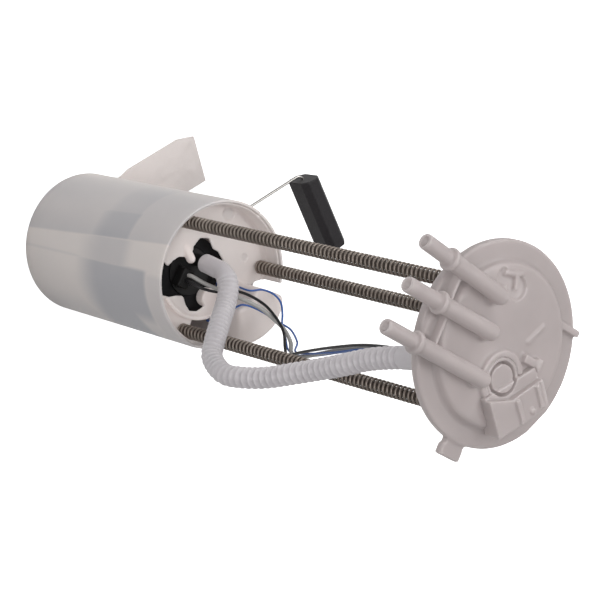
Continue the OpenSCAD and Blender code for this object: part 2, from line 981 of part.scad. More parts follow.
module connector_housing() {
    wall = 2;
    low = flange_z + 0.6;
    well_top = flange_z + dome_h + well_ring_h - 0.3;
    color([0.86, 0.86, 0.85])
    difference() {
        union() {
            // Open well with the round terminal block standing in it
            translate([well_x, well_y, flange_low_z])
                difference() {
                    cylinder(r = well_r, h = well_top - flange_low_z);
                    translate([0, 0, flange_t + 1.5])
                        pipe(well_r - 1.2, 8.8, 20);
                }
            at_connector() {
                translate([socket_back, socket_v - socket_side, low])
                    cube([socket_front - socket_back, 2 * socket_side, step_top - low]);
                translate([0, 0, step_top - 1])
                    linear_extrude(connector_top - step_top + 1)
                        socket_roof();
                // Key ribs and latch bump on the socket's roof
                translate([30.5, -7.8, connector_top - 1])
                    cube([16, 3.2, 2.4]);
                translate([29.2, 9, connector_top - 1])
                    cube([15, 3, 2.4]);
                translate([42.5, 3, connector_top - 0.5])
                    cylinder(r1 = 2.9, r2 = 1.6, h = 1.6);
            }
        }
        // Mouth that the vehicle's plug enters
        at_connector()
            translate([roof_back + 2.5, socket_v - socket_side + wall, low + 2])
                cube([30, 2 * (socket_side - wall), connector_top - low - 4]);
        pin_blades(run_gap);
    }
}

pin_v = [-14, -8, -2, 4];

module pin_blades(grow) {
    at_connector()
        for (v = pin_v)
            translate([roof_back - 1, socket_v + v + 4.2 - grow, flange_z + 6.3 - grow])
                cube([10, 1.6 + 2 * grow, 0.8 + 2 * grow]);
}

module connector_pins() {
    color([0.75, 0.66, 0.4])
    pin_blades(0);
}

module wire_plug() {
    color([0.9, 0.9, 0.88])
    difference() {
        union() {
            translate([plug_x - 8, plug_y - 6, flange_low_z - 14])
                cube([15, 12, 14]);
            translate([plug_x - 10, plug_y - 3, flange_low_z - 8])
                cube([3, 6, 6]);
        }
        for (q = [grey_route, black_route, long_blue_route, short_blue_route])
            translate([q[len(q) - 1][0], q[len(q) - 1][1], flange_low_z - 15])
                cylinder(r = 1.3, h = 4);
    }
}

// Hose and wires

module corrugated_hose() {
    color([0.93, 0.93, 0.93])
    difference() {
        tube(smooth_route(hose_route, 3), hose_r, 12);
        translate([outlet_x, outlet_y, 140])
            cylinder(r = 4.2 + run_gap, h = 22.2);
        translate(concat(port_point(2, nipple_at[2]), nipple_low_z[2] - 0.1))
            cylinder(r = 5.2 + run_gap, h = 30);
    }
}

module wire_grey() {
    color([0.55, 0.55, 0.55])
    tube(smooth_route(grey_route, 3), grey_wire_r, 8);
}

module wire_black() {
    color([0.06, 0.06, 0.06])
    tube(smooth_route(black_route, 3), black_wire_r, 8);
}

module wire_blue_long() {
    color([0.2, 0.3, 0.6])
    tube(smooth_route(long_blue_route, 3), blue_wire_r, 8);
}

module wire_blue_short() {
    color([0.2, 0.3, 0.6])
    tube(smooth_route(short_blue_route, 3), blue_wire_r, 8);
}

reservoir();
cover();
pump_isolator();
pump_case();
pump_inlet_cap();
pump_outlet_cap();
pump_magnets();
pump_rotor();
pump_plug();
foot_valve();
strainer_neck();
strainer_pouch();
sensor_bracket();
sensor_card();
arm_pin();
float_hub();
wiper();
float_arm();
float_body();
float_clip();
guide_rods();
rod_clips();
spring_left();
spring_front();
spring_back();
flange();
connector_housing();
connector_pins();
wire_plug();
corrugated_hose();
wire_grey();
wire_black();
wire_blue_long();
wire_blue_short();
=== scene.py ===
import math

import bmesh
import bpy
import numpy as np
from mathutils import Matrix, Vector, noise


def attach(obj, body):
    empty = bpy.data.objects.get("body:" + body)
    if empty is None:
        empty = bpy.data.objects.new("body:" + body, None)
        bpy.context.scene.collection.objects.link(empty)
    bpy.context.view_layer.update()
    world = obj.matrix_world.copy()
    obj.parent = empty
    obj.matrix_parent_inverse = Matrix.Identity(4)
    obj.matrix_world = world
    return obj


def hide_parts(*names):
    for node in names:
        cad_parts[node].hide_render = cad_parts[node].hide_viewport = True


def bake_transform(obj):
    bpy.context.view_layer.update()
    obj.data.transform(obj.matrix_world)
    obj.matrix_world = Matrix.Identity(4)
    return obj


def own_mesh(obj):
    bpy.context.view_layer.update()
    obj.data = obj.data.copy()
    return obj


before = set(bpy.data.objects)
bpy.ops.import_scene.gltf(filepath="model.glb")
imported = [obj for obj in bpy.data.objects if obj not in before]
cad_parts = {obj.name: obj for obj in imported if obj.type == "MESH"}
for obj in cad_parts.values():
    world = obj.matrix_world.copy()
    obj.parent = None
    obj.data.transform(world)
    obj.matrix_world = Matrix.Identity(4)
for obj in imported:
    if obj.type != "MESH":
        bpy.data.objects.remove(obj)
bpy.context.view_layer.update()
mm = 0.001


# Small mesh library. Every builder returns (points, faces) in millimetres.

def onCircle(radius, degrees):
    return radius * math.cos(math.radians(degrees)), radius * math.sin(math.radians(degrees))


def ringCap(first, steps, flip):
    loop = list(range(first, first + steps))
    return [loop[::-1] if flip else loop]


def lathe(profile, steps=96, start=0.0, end=360.0, centre=(0.0, 0.0)):
    whole = abs(end - start - 360.0) < 1e-6
    count = steps if whole else max(2, int(steps * (end - start) / 360.0)) + 1
    points, faces = [], []
    for i in range(count):
        share = i / count if whole else i / (count - 1)
        a = math.radians(start + (end - start) * share)
        for r, z in profile:
            points.append((centre[0] + r * math.cos(a), centre[1] + r * math.sin(a), z))
    n = len(profile)
    for i in range(count if whole else count - 1):
        a, b = i * n, ((i + 1) % count) * n
        for k in range(n):
            k2 = (k + 1) % n
            faces.append((a + k, b + k, b + k2, a + k2))
    if not whole:
        faces.append(tuple(range(n)))
        faces.append(tuple(range((count - 1) * n, count * n))[::-1])
    return points, faces


def ringPart(rIn, rOut, low, high, start=0.0, end=360.0, centre=(0.0, 0.0), steps=128):
    profile = [(rIn, low), (rOut, low), (rOut, high), (rIn, high)]
    return lathe(profile, steps, start, end, centre)


def rod(p0, p1, r0, r1=None, steps=32):
    r1 = r0 if r1 is None else r1
    p0, p1 = Vector(p0), Vector(p1)
    along = (p1 - p0).normalized()
    side = along.orthogonal().normalized()
    other = along.cross(side)
    points = []
    for p, r in ((p0, r0), (p1, r1)):
        for i in range(steps):
            a = 2 * math.pi * i / steps
            points.append(tuple(p + r * (math.cos(a) * side + math.sin(a) * other)))
    faces = [(i, (i + 1) % steps, steps + (i + 1) % steps, steps + i) for i in range(steps)]
    return points, faces + ringCap(0, steps, True) + ringCap(steps, steps, False)


def post(x, y, r, low, high, steps=32):
    return rod((x, y, low), (x, y, high), r, steps=steps)


def ball(centre, r, steps=24):
    points, faces = [], []
    rows = steps // 2
    for j in range(1, rows):
        t = math.pi * j / rows
        for i in range(steps):
            a = 2 * math.pi * i / steps
            points.append((centre[0] + r * math.sin(t) * math.cos(a),
                           centre[1] + r * math.sin(t) * math.sin(a),
                           centre[2] - r * math.cos(t)))
    for j in range(rows - 2):
        for i in range(steps):
            a, b = j * steps + i, j * steps + (i + 1) % steps
            faces.append((a, b, b + steps, a + steps))
    return points, faces + ringCap(0, steps, True) + ringCap((rows - 2) * steps, steps, False)


def prism(outline, low, high):
    n = len(outline)
    points = [(x, y, low) for x, y in outline] + [(x, y, high) for x, y in outline]
    faces = [(i, (i + 1) % n, n + (i + 1) % n, n + i) for i in range(n)]
    return points, faces + ringCap(0, n, True) + ringCap(n, n, False)


def box(low, high):
    (x0, y0, z0), (x1, y1, z1) = low, high
    return prism([(x0, y0), (x1, y0), (x1, y1), (x0, y1)], z0, z1)


def upright(outline, x0, x1):
    # A prism along X from an outline in Y and Z
    points, faces = prism(outline, x0, x1)
    return [(z, x, y) for x, y, z in points], faces


def turned(part, degrees):
    c, s = math.cos(math.radians(degrees)), math.sin(math.radians(degrees))
    return [(c * x - s * y, s * x + c * y, z) for x, y, z in part[0]], part[1]


def moved(part, dx, dy, dz=0.0):
    return [(x + dx, y + dy, z + dz) for x, y, z in part[0]], part[1]


def joined(parts):
    points, faces = [], []
    for p, f in parts:
        base = len(points)
        points += list(p)
        faces += [tuple(base + i for i in face) for face in f]
    return points, faces


def addObject(name, data):
    obj = bpy.data.objects.new(name, data)
    bpy.context.scene.collection.objects.link(obj)
    return obj


def meshObject(name, part, smooth=True):
    points, faces = part
    mesh = bpy.data.meshes.new(name)
    mesh.from_pydata([(x * mm, y * mm, z * mm) for x, y, z in points], [], faces)
    mesh.validate()
    if smooth:
        mesh.shade_smooth()
    return addObject(name, mesh)


def evaluated(obj):
    graph = bpy.context.evaluated_depsgraph_get()
    return bpy.data.meshes.new_from_object(obj.evaluated_get(graph))


def plainMesh(obj):
    # Evaluates the modifiers into an ordinary mesh
    mesh = evaluated(obj)
    obj.modifiers.clear()
    obj.data = mesh
    return obj


def outwards(obj):
    bm = bmesh.new()
    bm.from_mesh(obj.data)
    bmesh.ops.recalc_face_normals(bm, faces=bm.faces)
    bm.to_mesh(obj.data)
    bm.free()
    return obj


def voxelise(obj, size):
    fuse = obj.modifiers.new("fuse", "REMESH")
    fuse.mode = "VOXEL"
    fuse.voxel_size = size * mm
    return plainMesh(obj)


def carve(body, operation, piece):
    tool = body.modifiers.new("carve", "BOOLEAN")
    tool.operation = operation
    tool.solver = "MANIFOLD"
    tool.object = piece
    plainMesh(body)
    bpy.data.objects.remove(piece)


def moulded(name, steps, voxel, rounding):
    # A moulding. Its steps add or cut solids in turn, and then all its edges are softened
    body = None
    for action, parts in steps:
        piece = voxelise(meshObject(name + action, joined(parts)), voxel * 0.75)
        if body is None:
            body = piece
        else:
            carve(body, "UNION" if action == "add" else "DIFFERENCE", piece)
    voxelise(body, voxel)
    soften = body.modifiers.new("soften", "SMOOTH")
    soften.factor = 0.5
    soften.iterations = rounding
    plainMesh(body)
    body.data.shade_smooth()
    body.name = name
    print("moulded", name, len(body.data.polygons), "faces")
    return body


def dress(obj, material):
    obj.data.materials.clear()
    obj.data.materials.append(material)
    return obj


# Camera and lights

cameraAt = (0.18284, -0.90911, 1.37884)
cameraRight = Vector((-0.38481, 0.68623, 0.61726))
cameraUp = Vector((-0.91469, -0.37305, -0.15550))
cameraBack = cameraRight.cross(cameraUp)
lights = {"frontLight": ((0.19, -0.94, 1.44), 8.6), "rightLight": ((-0.35, 0.26, 1.72), 8.8),
          "topLight": ((-1.26, 0.04, 1.09), 7.0)}
lightTarget, lightSize = Vector((0, 0, 0.28)), 1.0

cam = addObject("camera", bpy.data.cameras.new("camera"))
cam.data.lens = 136.14
cam.data.sensor_width = 36.0
cam.data.clip_end = 50.0
turn = Matrix((cameraRight, cameraUp, cameraBack)).transposed()
cam.matrix_world = Matrix.Translation(cameraAt) @ turn.to_4x4()
bpy.context.scene.camera = cam
bpy.context.scene.view_settings.view_transform = "Standard"

for name, (at, power) in lights.items():
    lamp = bpy.data.lights.new(name, "AREA")
    lamp.shape = "DISK"
    lamp.size = lightSize
    lamp.energy = power
    lampObject = addObject(name, lamp)
    lampObject.location = at
    lampObject.rotation_euler = (lightTarget - Vector(at)).to_track_quat("-Z", "Y").to_euler()


# Node helpers and the shared effects

def fill(tree, node, values):
    # A plain value goes into the node's input, and another node's output is linked to it
    for port, value in values.items():
        if isinstance(value, (int, float, tuple)):
            node.inputs[port].default_value = value
        else:
            tree.links.new(value, node.inputs[port])
    return node


def addNode(tree, kind, values):
    return fill(tree, tree.nodes.new(kind), values)


def newTree(name, treeKind, inputs, outputs):
    # Each socket is given by its first value, a number, or else by its kind, a word
    tree = bpy.data.node_groups.new(name, treeKind)
    for side, sockets in (("INPUT", inputs), ("OUTPUT", outputs)):
        for label, value in sockets.items():
            kind = value if isinstance(value, str) else {float: "Float", int: "Int"}[type(value)]
            socket = tree.interface.new_socket(label, in_out=side, socket_type="NodeSocket" + kind)
            if kind != value:
                socket.default_value = value
    return tree, tree.nodes.new("NodeGroupInput").outputs, tree.nodes.new("NodeGroupOutput")


def mathNode(tree, operation, a, b=None, clamp=False):
    node = addNode(tree, "ShaderNodeMath", {0: a} if b is None else {0: a, 1: b})
    node.operation = operation
    node.use_clamp = clamp
    return node.outputs[0]


def times(tree, a, b, clamp=False):
    return mathNode(tree, "MULTIPLY", a, b, clamp)


def plus(tree, a, b, clamp=False):
    return mathNode(tree, "ADD", a, b, clamp)


def minus(tree, a, b):
    return mathNode(tree, "SUBTRACT", a, b)


def mixColour(tree, factor, a, b):
    node = tree.nodes.new("ShaderNodeMix")
    node.data_type = "RGBA"
    ports = [i for i, port in enumerate(node.inputs) if port.enabled]
    fill(tree, node, dict(zip(ports, (factor, a, b))))
    return [port for port in node.outputs if port.enabled][0]


def noiseNode(tree, place, scale, detail, roughness=0.5):
    return addNode(tree, "ShaderNodeTexNoise", {
        "Vector": place, "Scale": scale, "Detail": detail, "Roughness": roughness}).outputs[0]


def bumpNode(tree, height, strength, depth):
    return addNode(tree, "ShaderNodeBump", {
        "Height": height, "Strength": strength, "Distance": depth}).outputs[0]


def stretched(tree, place, along):
    scale = (1.0, 1.0, along)
    return addNode(tree, "ShaderNodeMapping", {"Vector": place, "Scale": scale}).outputs[0]


def remap(tree, value, fromLow, fromHigh, toLow=0.0, toHigh=1.0, kind="LINEAR"):
    node = addNode(tree, "ShaderNodeMapRange", {
        "Value": value, "From Min": fromLow, "From Max": fromHigh, "To Min": toLow, "To Max": toHigh})
    node.interpolation_type = kind
    return node.outputs[0]


def makeMottle():
    # Cloudy change of tone in a moulding, from thick to thin places
    group, start, end = newTree(
        "mottle", "ShaderNodeTree",
        {"Light": "Color", "Dark": "Color", "Place": "Vector", "Scale": 20.0},
        {"Colour": "Color", "Mask": "Float"})
    cloud = noiseNode(group, start["Place"], start["Scale"], 4.0)
    mask = remap(group, cloud, 0.3, 0.7)
    tone = mixColour(group, mask, start["Light"], start["Dark"])
    fill(group, end, {"Colour": tone, "Mask": mask})
    return group


def makeGrain():
    # Fine surface relief, as a normal
    group, start, end = newTree(
        "grain", "ShaderNodeTree",
        {"Place": "Vector", "Scale": 900.0, "Strength": 0.1, "Depth": 0.0002}, {"Normal": "Vector"})
    fine = noiseNode(group, start["Place"], start["Scale"], 5.0)
    relief = bumpNode(group, fine, start["Strength"], start["Depth"])
    fill(group, end, {"Normal": relief})
    return group


def makeWeave():
    # A fine woven cloth from two crossed waves
    group, start, end = newTree(
        "weave", "ShaderNodeTree", {"Place": "Vector", "Threads": 1500.0, "Strength": 0.4},
        {"Normal": "Vector", "Mask": "Float"})
    waves = []
    for direction in ("X", "Y"):
        wave = addNode(group, "ShaderNodeTexWave", {
            "Vector": start["Place"], "Scale": start["Threads"]})
        wave.bands_direction = direction
        waves.append(wave.outputs["Fac"])
    height = times(group, waves[0], waves[1])
    relief = bumpNode(group, height, start["Strength"], 0.0001)
    fill(group, end, {"Normal": relief, "Mask": height})
    return group


mottleGroup = makeMottle()
grainGroup = makeGrain()
weaveGroup = makeWeave()


def useGroup(tree, group, **values):
    node = tree.nodes.new("ShaderNodeGroup")
    node.node_tree = group
    return fill(tree, node, values).outputs


def startMaterial(name):
    material = bpy.data.materials.new(name)
    material.use_nodes = True
    tree = material.node_tree
    shader = tree.nodes["Principled BSDF"]
    place = tree.nodes.new("ShaderNodeTexCoord").outputs["Object"]
    return material, tree, shader, place


def plastic(name, light, dark, patch, rough=0.42, milk=0.0, reach=0.004, gloss=0.5, glow=0.0):
    # The glow is emission in the moulding's own colour: painted light that stands in for the light a
    # milky moulding passes on from behind, and lifts its shaded sides
    material, tree, shader, place = startMaterial(name)
    tone = useGroup(tree, mottleGroup, Light=light + (1,), Dark=dark + (1,), Place=place, Scale=patch)
    relief = useGroup(tree, grainGroup, Place=place, Scale=700.0, Strength=0.12, Depth=0.0002)
    shine = remap(tree, tone["Mask"], 0.0, 1.0, rough - 0.05, rough + 0.06)
    fill(tree, shader, {
        "Base Color": tone["Colour"], "Normal": relief["Normal"],
        "Roughness": shine, "Specular IOR Level": gloss, "Subsurface Weight": milk,
        "Subsurface Scale": reach, "Subsurface Radius": (1.0, 1.0, 1.0),
        "Emission Color": tone["Colour"], "Emission Strength": glow})
    return material


def metal(name, light, dark, patch, rough, streak=1.0):
    material, tree, shader, place = startMaterial(name)
    along = stretched(tree, place, streak)
    tone = useGroup(tree, mottleGroup, Light=light + (1,), Dark=dark + (1,), Place=along, Scale=patch)
    relief = useGroup(tree, grainGroup, Place=place, Scale=1500.0, Strength=0.08, Depth=0.0001)
    shine = remap(tree, tone["Mask"], 0.0, 1.0, rough - 0.08, rough + 0.12)
    fill(tree, shader, {"Base Color": tone["Colour"], "Normal": relief["Normal"],
                        "Roughness": shine, "Metallic": 1.0})
    return material


# The flange, cover and hose glow a little: painted light that lifts their shaded sides
flangeWhite = plastic("flangeWhite", (0.355, 0.315, 0.31), (0.305, 0.27, 0.267), 16.0, 0.42,
                      1.0, 0.010, glow=0.26)
coverWhite = plastic("coverWhite", (0.74, 0.675, 0.65), (0.665, 0.605, 0.585), 22.0, 0.45,
                     1.0, 0.006, glow=0.14)
bracketWhite = plastic("bracketWhite", (0.75, 0.72, 0.70), (0.68, 0.65, 0.63), 25.0)
hoseWhite = plastic("hoseWhite", (0.51, 0.485, 0.50), (0.455, 0.435, 0.45), 30.0, 0.4,
                    0.9, 0.006, glow=0.22)
blackRubber = plastic("blackRubber", (0.006, 0.006, 0.007), (0.003, 0.003, 0.004), 60.0, 0.65,
                      gloss=0.25)
blackPlastic = plastic("blackPlastic", (0.010, 0.010, 0.010), (0.006, 0.006, 0.006), 50.0, 0.5,
                       gloss=0.35)
valveRed = plastic("valveRed", (0.30, 0.07, 0.03), (0.22, 0.05, 0.02), 50.0, 0.55)
cardGreen = plastic("cardGreen", (0.06, 0.12, 0.08), (0.04, 0.09, 0.06), 80.0, 0.35)
greyJacket = plastic("greyJacket", (0.46, 0.455, 0.44), (0.38, 0.375, 0.36), 60.0, 0.4)
blackJacket = plastic("blackJacket", (0.018, 0.018, 0.020), (0.010, 0.010, 0.012), 60.0, 0.35)
blueJacket = plastic("blueJacket", (0.07, 0.17, 0.50), (0.05, 0.12, 0.40), 60.0, 0.35)
springSteel = metal("springSteel", (0.40, 0.345, 0.305), (0.28, 0.24, 0.21), 120.0, 0.48)
brightSteel = metal("brightSteel", (0.62, 0.60, 0.57), (0.50, 0.48, 0.46), 60.0, 0.28, 0.1)
# The guide rods are painted dark brown: painted shade for the inside of the coils round them
rodShadeSteel = metal("rodShadeSteel", (0.20, 0.165, 0.145), (0.12, 0.10, 0.085), 90.0, 0.5, 0.1)
caseSteel = metal("caseSteel", (0.56, 0.56, 0.57), (0.46, 0.46, 0.47), 40.0, 0.32, 0.1)
magnetGrey = metal("magnetGrey", (0.10, 0.10, 0.10), (0.07, 0.07, 0.07), 60.0, 0.6)
copperRotor = metal("copperRotor", (0.60, 0.30, 0.14), (0.45, 0.24, 0.12), 60.0, 0.35)
contactBrass = metal("contactBrass", (0.62, 0.50, 0.26), (0.52, 0.42, 0.22), 60.0, 0.3)


skin = {
    "milky": (0.80, 0.735, 0.705, 1), "shaded": (0.48, 0.475, 0.50, 1), "rough": (0.32, 0.44),
    "band": 0.10, "cloud": 0.08, "leanFrom": 80.0, "milk": 0.35, "reach": 0.006,
}
# Patches of painted shade on the cup's wall: two angles in degrees and their softness, two heights
# in millimetres and theirs, the sides' lean in degrees a millimetre, and how dark it is
skinShadeMarks = [
    ((-150, -85), (20, 1.2), (-20, 190), (1, 1), 0.069, 0.55),
    ((-150, -85), (20, 1.2), (78, 126), (18, 6), 0.069, 0.72),
    ((-110, -85), (4, 1.2), (78, 126), (18, 5), 0.069, 0.95),
    ((-86, -62), (2, 2), (80, 128), (18, 8), 0.04, 0.55),
    ((-67, 12), (2, 12), (78, 134), (16, 8), 0.015, 0.95),
    ((-67, -24), (2, 12), (80, 153), (16, 4), 0.015, 0.95),
    ((-68, -65.8), (1, 1), (-20, 156), (1, 6), 0.015, 0.2),
    ((-66, 12), (3, 12), (152, 190), (4, 1), 0.0, 0.35),
    ((-24, 130), (14, 40), (-20, 190), (1, 1), 0.0, 0.3),
]


def inside(tree, value, edges, soft):
    # One between the two edges, and zero beyond them
    low = remap(tree, value, edges[0] - soft[0], edges[0] + soft[0], 0.0, 1.0, "SMOOTHSTEP")
    high = remap(tree, value, edges[1] - soft[1], edges[1] + soft[1], 1.0, 0.0, "SMOOTHSTEP")
    return times(tree, low, high)


def makeReservoirSkin():
    # Milky cup: long soft bands up its wall, and patches of bluish painted shade for the pump inside
    # it and for the wall's shaded sides
    material, tree, shader, place = startMaterial("reservoirSkin")
    axes = addNode(tree, "ShaderNodeSeparateXYZ", {0: place}).outputs
    around = mathNode(tree, "ARCTAN2", axes["Y"], axes["X"])
    angle = times(tree, around, 180.0 / math.pi)
    height = times(tree, axes["Z"], 1000.0)
    rise = minus(tree, height, skin["leanFrom"])
    # depth gathers the marks' painted shade, and then the random bands and clouds are added to it
    depth = None
    for angles, angleSoft, heights, heightSoft, lean, dark in skinShadeMarks:
        across = plus(tree, angle, times(tree, rise, lean))
        mask = times(tree, inside(tree, across, angles, angleSoft),
                     inside(tree, height, heights, heightSoft))
        mask = times(tree, mask, dark)
        depth = mask if depth is None else mathNode(tree, "MAXIMUM", depth, mask)
    bands = noiseNode(tree, stretched(tree, place, 0.10), 30.0, 2.0, 0.45)
    streak = remap(tree, bands, 0.3, 0.7, -skin["band"], skin["band"])
    clouds = remap(tree, noiseNode(tree, place, 16.0, 3.0), 0.3, 0.7, -skin["cloud"], skin["cloud"])
    depth = plus(tree, plus(tree, depth, streak), clouds, True)
    relief = useGroup(tree, grainGroup, Place=place, Scale=500.0, Strength=0.1, Depth=0.0002)
    fill(tree, shader, {
        "Base Color": mixColour(tree, depth, skin["milky"], skin["shaded"]),
        "Roughness": remap(tree, bands, 0.3, 0.7, *skin["rough"]),
        "Normal": relief["Normal"], "Subsurface Weight": skin["milk"],
        "Subsurface Scale": skin["reach"], "Subsurface Radius": (1.0, 0.95, 0.95)})
    return material


def makeStrainerCloth():
    material, tree, shader, place = startMaterial("strainerCloth")
    tone = useGroup(tree, mottleGroup, Light=(0.84, 0.775, 0.745, 1), Dark=(0.74, 0.68, 0.655, 1),
                    Place=place, Scale=60.0)
    threads = useGroup(tree, weaveGroup, Place=place, Threads=700.0, Strength=0.5)
    colour = mixColour(tree, threads["Mask"], (0.72, 0.66, 0.64, 1), tone["Colour"])
    fill(tree, shader, {"Base Color": colour, "Normal": threads["Normal"],
                        "Roughness": 0.75, "Sheen Weight": 0.2})
    return material


def makeFloatFoam():
    # Closed-cell rubber: charcoal, finely pitted
    material, tree, shader, place = startMaterial("floatFoam")
    cells = addNode(tree, "ShaderNodeTexVoronoi", {"Scale": 900.0, "Vector": place})
    pits = remap(tree, cells.outputs["Distance"], 0.0, 0.6)
    tone = mixColour(tree, pits, (0.007, 0.0055, 0.0065, 1), (0.016, 0.0135, 0.016, 1))
    fill(tree, shader, {"Base Color": tone, "Normal": bumpNode(tree, pits, 0.25, 0.0003),
                        "Roughness": 0.5})
    return material


reservoirSkin = makeReservoirSkin()
strainerCloth = makeStrainerCloth()
floatFoam = makeFloatFoam()
print("materials ready")


# Sky and floor. Both are white to the camera, but the sky gives the object only a soft fill, and
# the floor still takes a soft shadow

skyFill, skySeen = 0.25, 1.0
floorHalf, floorTone, floorLift = 6000, 0.8, 0.85

world = bpy.data.worlds.new("studio")
bpy.context.scene.world = world
world.use_nodes = True
skyTree = world.node_tree
seen = skyTree.nodes.new("ShaderNodeLightPath").outputs["Is Camera Ray"]
fill(skyTree, skyTree.nodes["Background"], {
    "Color": (1.0, 1.0, 1.0, 1.0), "Strength": remap(skyTree, seen, 0.0, 1.0, skyFill, skySeen)})

floorMaterial = bpy.data.materials.new("floorWhite")
floorMaterial.use_nodes = True
floorTree = floorMaterial.node_tree
floorTree.nodes.clear()
paint = addNode(floorTree, "ShaderNodeBsdfDiffuse", {
    "Color": (floorTone, floorTone, floorTone, 1.0)})
seen = floorTree.nodes.new("ShaderNodeLightPath").outputs["Is Camera Ray"]
glow = addNode(floorTree, "ShaderNodeEmission", {
    "Strength": times(floorTree, seen, floorLift)})
both = addNode(floorTree, "ShaderNodeAddShader", {0: paint.outputs[0], 1: glow.outputs[0]})
addNode(floorTree, "ShaderNodeOutputMaterial", {"Surface": both.outputs[0]})
corners = [(-floorHalf, -floorHalf, 0), (floorHalf, -floorHalf, 0), (floorHalf, floorHalf, 0),
           (-floorHalf, floorHalf, 0)]
floor = meshObject("floor", (corners, [(0, 1, 2, 3)]), False)
dress(floor, floorMaterial)


# CAD nodes that keep their own shape

kept = {
    "pump_case": caseSteel, "pump_inlet_cap": blackPlastic, "pump_outlet_cap": blackPlastic,
    "pump_magnets": magnetGrey, "pump_rotor": copperRotor, "foot_valve": valveRed,
    "strainer_neck": bracketWhite, "sensor_bracket": bracketWhite, "sensor_card": cardGreen,
    "arm_pin": brightSteel, "float_hub": bracketWhite, "wiper": contactBrass,
    "float_clip": brightSteel, "guide_rods": rodShadeSteel, "rod_clips": brightSteel,
    "connector_pins": contactBrass, "wire_plug": bracketWhite, "float_arm": brightSteel,
}
for node, material in kept.items():
    dress(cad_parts[node], material)


# Geometry Nodes: coil springs, the ribbed hose and the wires

def sweptTube(tree, start, end, curve, radius):
    # Sweeps a circle, then realises and paints the result
    profile = addNode(tree, "GeometryNodeCurvePrimitiveCircle", {
        "Radius": 1.0, "Resolution": start["Sides"]})
    solid = addNode(tree, "GeometryNodeCurveToMesh", {
        "Curve": curve, "Profile Curve": profile.outputs["Curve"], "Scale": radius,
        "Fill Caps": True})
    soft = addNode(tree, "GeometryNodeSetShadeSmooth", {"Geometry": solid.outputs[0]})
    real = addNode(tree, "GeometryNodeRealizeInstances", {0: soft.outputs[0]})
    coat = addNode(tree, "GeometryNodeSetMaterial", {
        "Geometry": real.outputs[0], "Material": start["Material"]})
    fill(tree, end, {0: coat.outputs[0]})


def makeSpringTree():
    # A coil along Z with one closed turn at each end
    tree, start, end = newTree(
        "coilSpring", "GeometryNodeTree",
        {"Geometry": "Geometry", "Low": 0.153, "High": 0.4335, "Coil Radius": 0.004,
         "Wire Radius": 0.0007, "Turns": 82.0, "Steps": 1680, "Sides": 8, "Material": "Material"},
        {"Geometry": "Geometry"})
    line = tree.nodes.new("GeometryNodeCurvePrimitiveLine")
    dense = addNode(tree, "GeometryNodeResampleCurve", {
        "Curve": line.outputs[0], "Count": start["Steps"]})
    share = tree.nodes.new("GeometryNodeSplineParameter").outputs["Factor"]
    wire, turns = start["Wire Radius"], start["Turns"]
    turn = times(tree, share, plus(tree, turns, 2.0))
    closed = times(tree, wire, 2.1)
    first = plus(tree, start["Low"], wire)
    height = minus(tree, start["High"], start["Low"])
    free = minus(tree, height, times(tree, wire, 6.2))
    pitch = mathNode(tree, "DIVIDE", free, turns)
    after = minus(tree, turn, 1.0)
    active = mathNode(tree, "MINIMUM", mathNode(tree, "MAXIMUM", after, 0.0), turns)
    last = mathNode(tree, "MAXIMUM", minus(tree, after, turns), 0.0)
    opening = times(tree, closed, mathNode(tree, "MINIMUM", turn, 1.0))
    z = plus(tree, first, opening)
    z = plus(tree, z, times(tree, pitch, active))
    z = plus(tree, z, times(tree, closed, last))
    angle, radius = times(tree, turn, 2.0 * math.pi), start["Coil Radius"]
    place = addNode(tree, "ShaderNodeCombineXYZ", {
        0: times(tree, radius, mathNode(tree, "COSINE", angle)),
        1: times(tree, radius, mathNode(tree, "SINE", angle)), 2: z})
    bend = addNode(tree, "GeometryNodeSetPosition", {
        "Geometry": dense.outputs[0], "Position": place.outputs[0]})
    sweptTube(tree, start, end, bend.outputs[0], wire)
    return tree


def makeTubeTree():
    # A tube along a curve, with ribs between two lengths along it
    tree, start, end = newTree(
        "ribbedTube", "GeometryNodeTree",
        {"Geometry": "Geometry", "Radius": 0.0065, "Rib Depth": 0.0, "Rib Pitch": 0.003,
         "Far Pitch": 0.005, "Far From": 0.1, "Rib Start": 0.0, "Rib End": 1.0, "Cuff Step": 0.0,
         "Steps": 600, "Sides": 32, "Material": "Material"},
        {"Geometry": "Geometry"})
    dense = addNode(tree, "GeometryNodeResampleCurve", {
        "Curve": start["Geometry"], "Count": start["Steps"]})
    along = tree.nodes.new("GeometryNodeSplineParameter").outputs["Length"]
    fromStart = minus(tree, along, start["Rib Start"])
    toEnd = minus(tree, start["Rib End"], along)
    # The ribs are closer in the first run, up to Far From, than beyond it
    beyond = minus(tree, fromStart, start["Far From"])
    far = mathNode(tree, "MAXIMUM", beyond, 0.0)
    near = minus(tree, fromStart, far)
    phase = plus(tree, mathNode(tree, "DIVIDE", near, start["Rib Pitch"]),
                 mathNode(tree, "DIVIDE", far, start["Far Pitch"]))
    wave = mathNode(tree, "COSINE", times(tree, phase, 2.0 * math.pi))
    # Rounded crests with wider valleys between them, a quarter as deep in the first run and at
    # full depth 30 mm beyond it
    crest = plus(tree, times(tree, wave, 0.5), 0.5, True)
    valley = minus(tree, 1.0, mathNode(tree, "POWER", crest, 1.5))
    growth = mathNode(tree, "MINIMUM", mathNode(tree, "DIVIDE", far, 0.04), 0.75)
    grow = plus(tree, 0.25, growth)
    gate = mathNode(tree, "GREATER_THAN", mathNode(tree, "MINIMUM", fromStart, toEnd), 0.0)
    depth = times(tree, times(tree, valley, grow), times(tree, gate, start["Rib Depth"]))
    # A smooth narrower cuff before the first rib
    before = minus(tree, 0.0, fromStart)
    inCuff = times(tree, before, 1.0 / 0.006, True)
    step = times(tree, inCuff, start["Cuff Step"])
    radius = minus(tree, start["Radius"], depth)
    sweptTube(tree, start, end, dense.outputs[0], minus(tree, radius, step))
    return tree


springTree = makeSpringTree()
tubeTree = makeTubeTree()


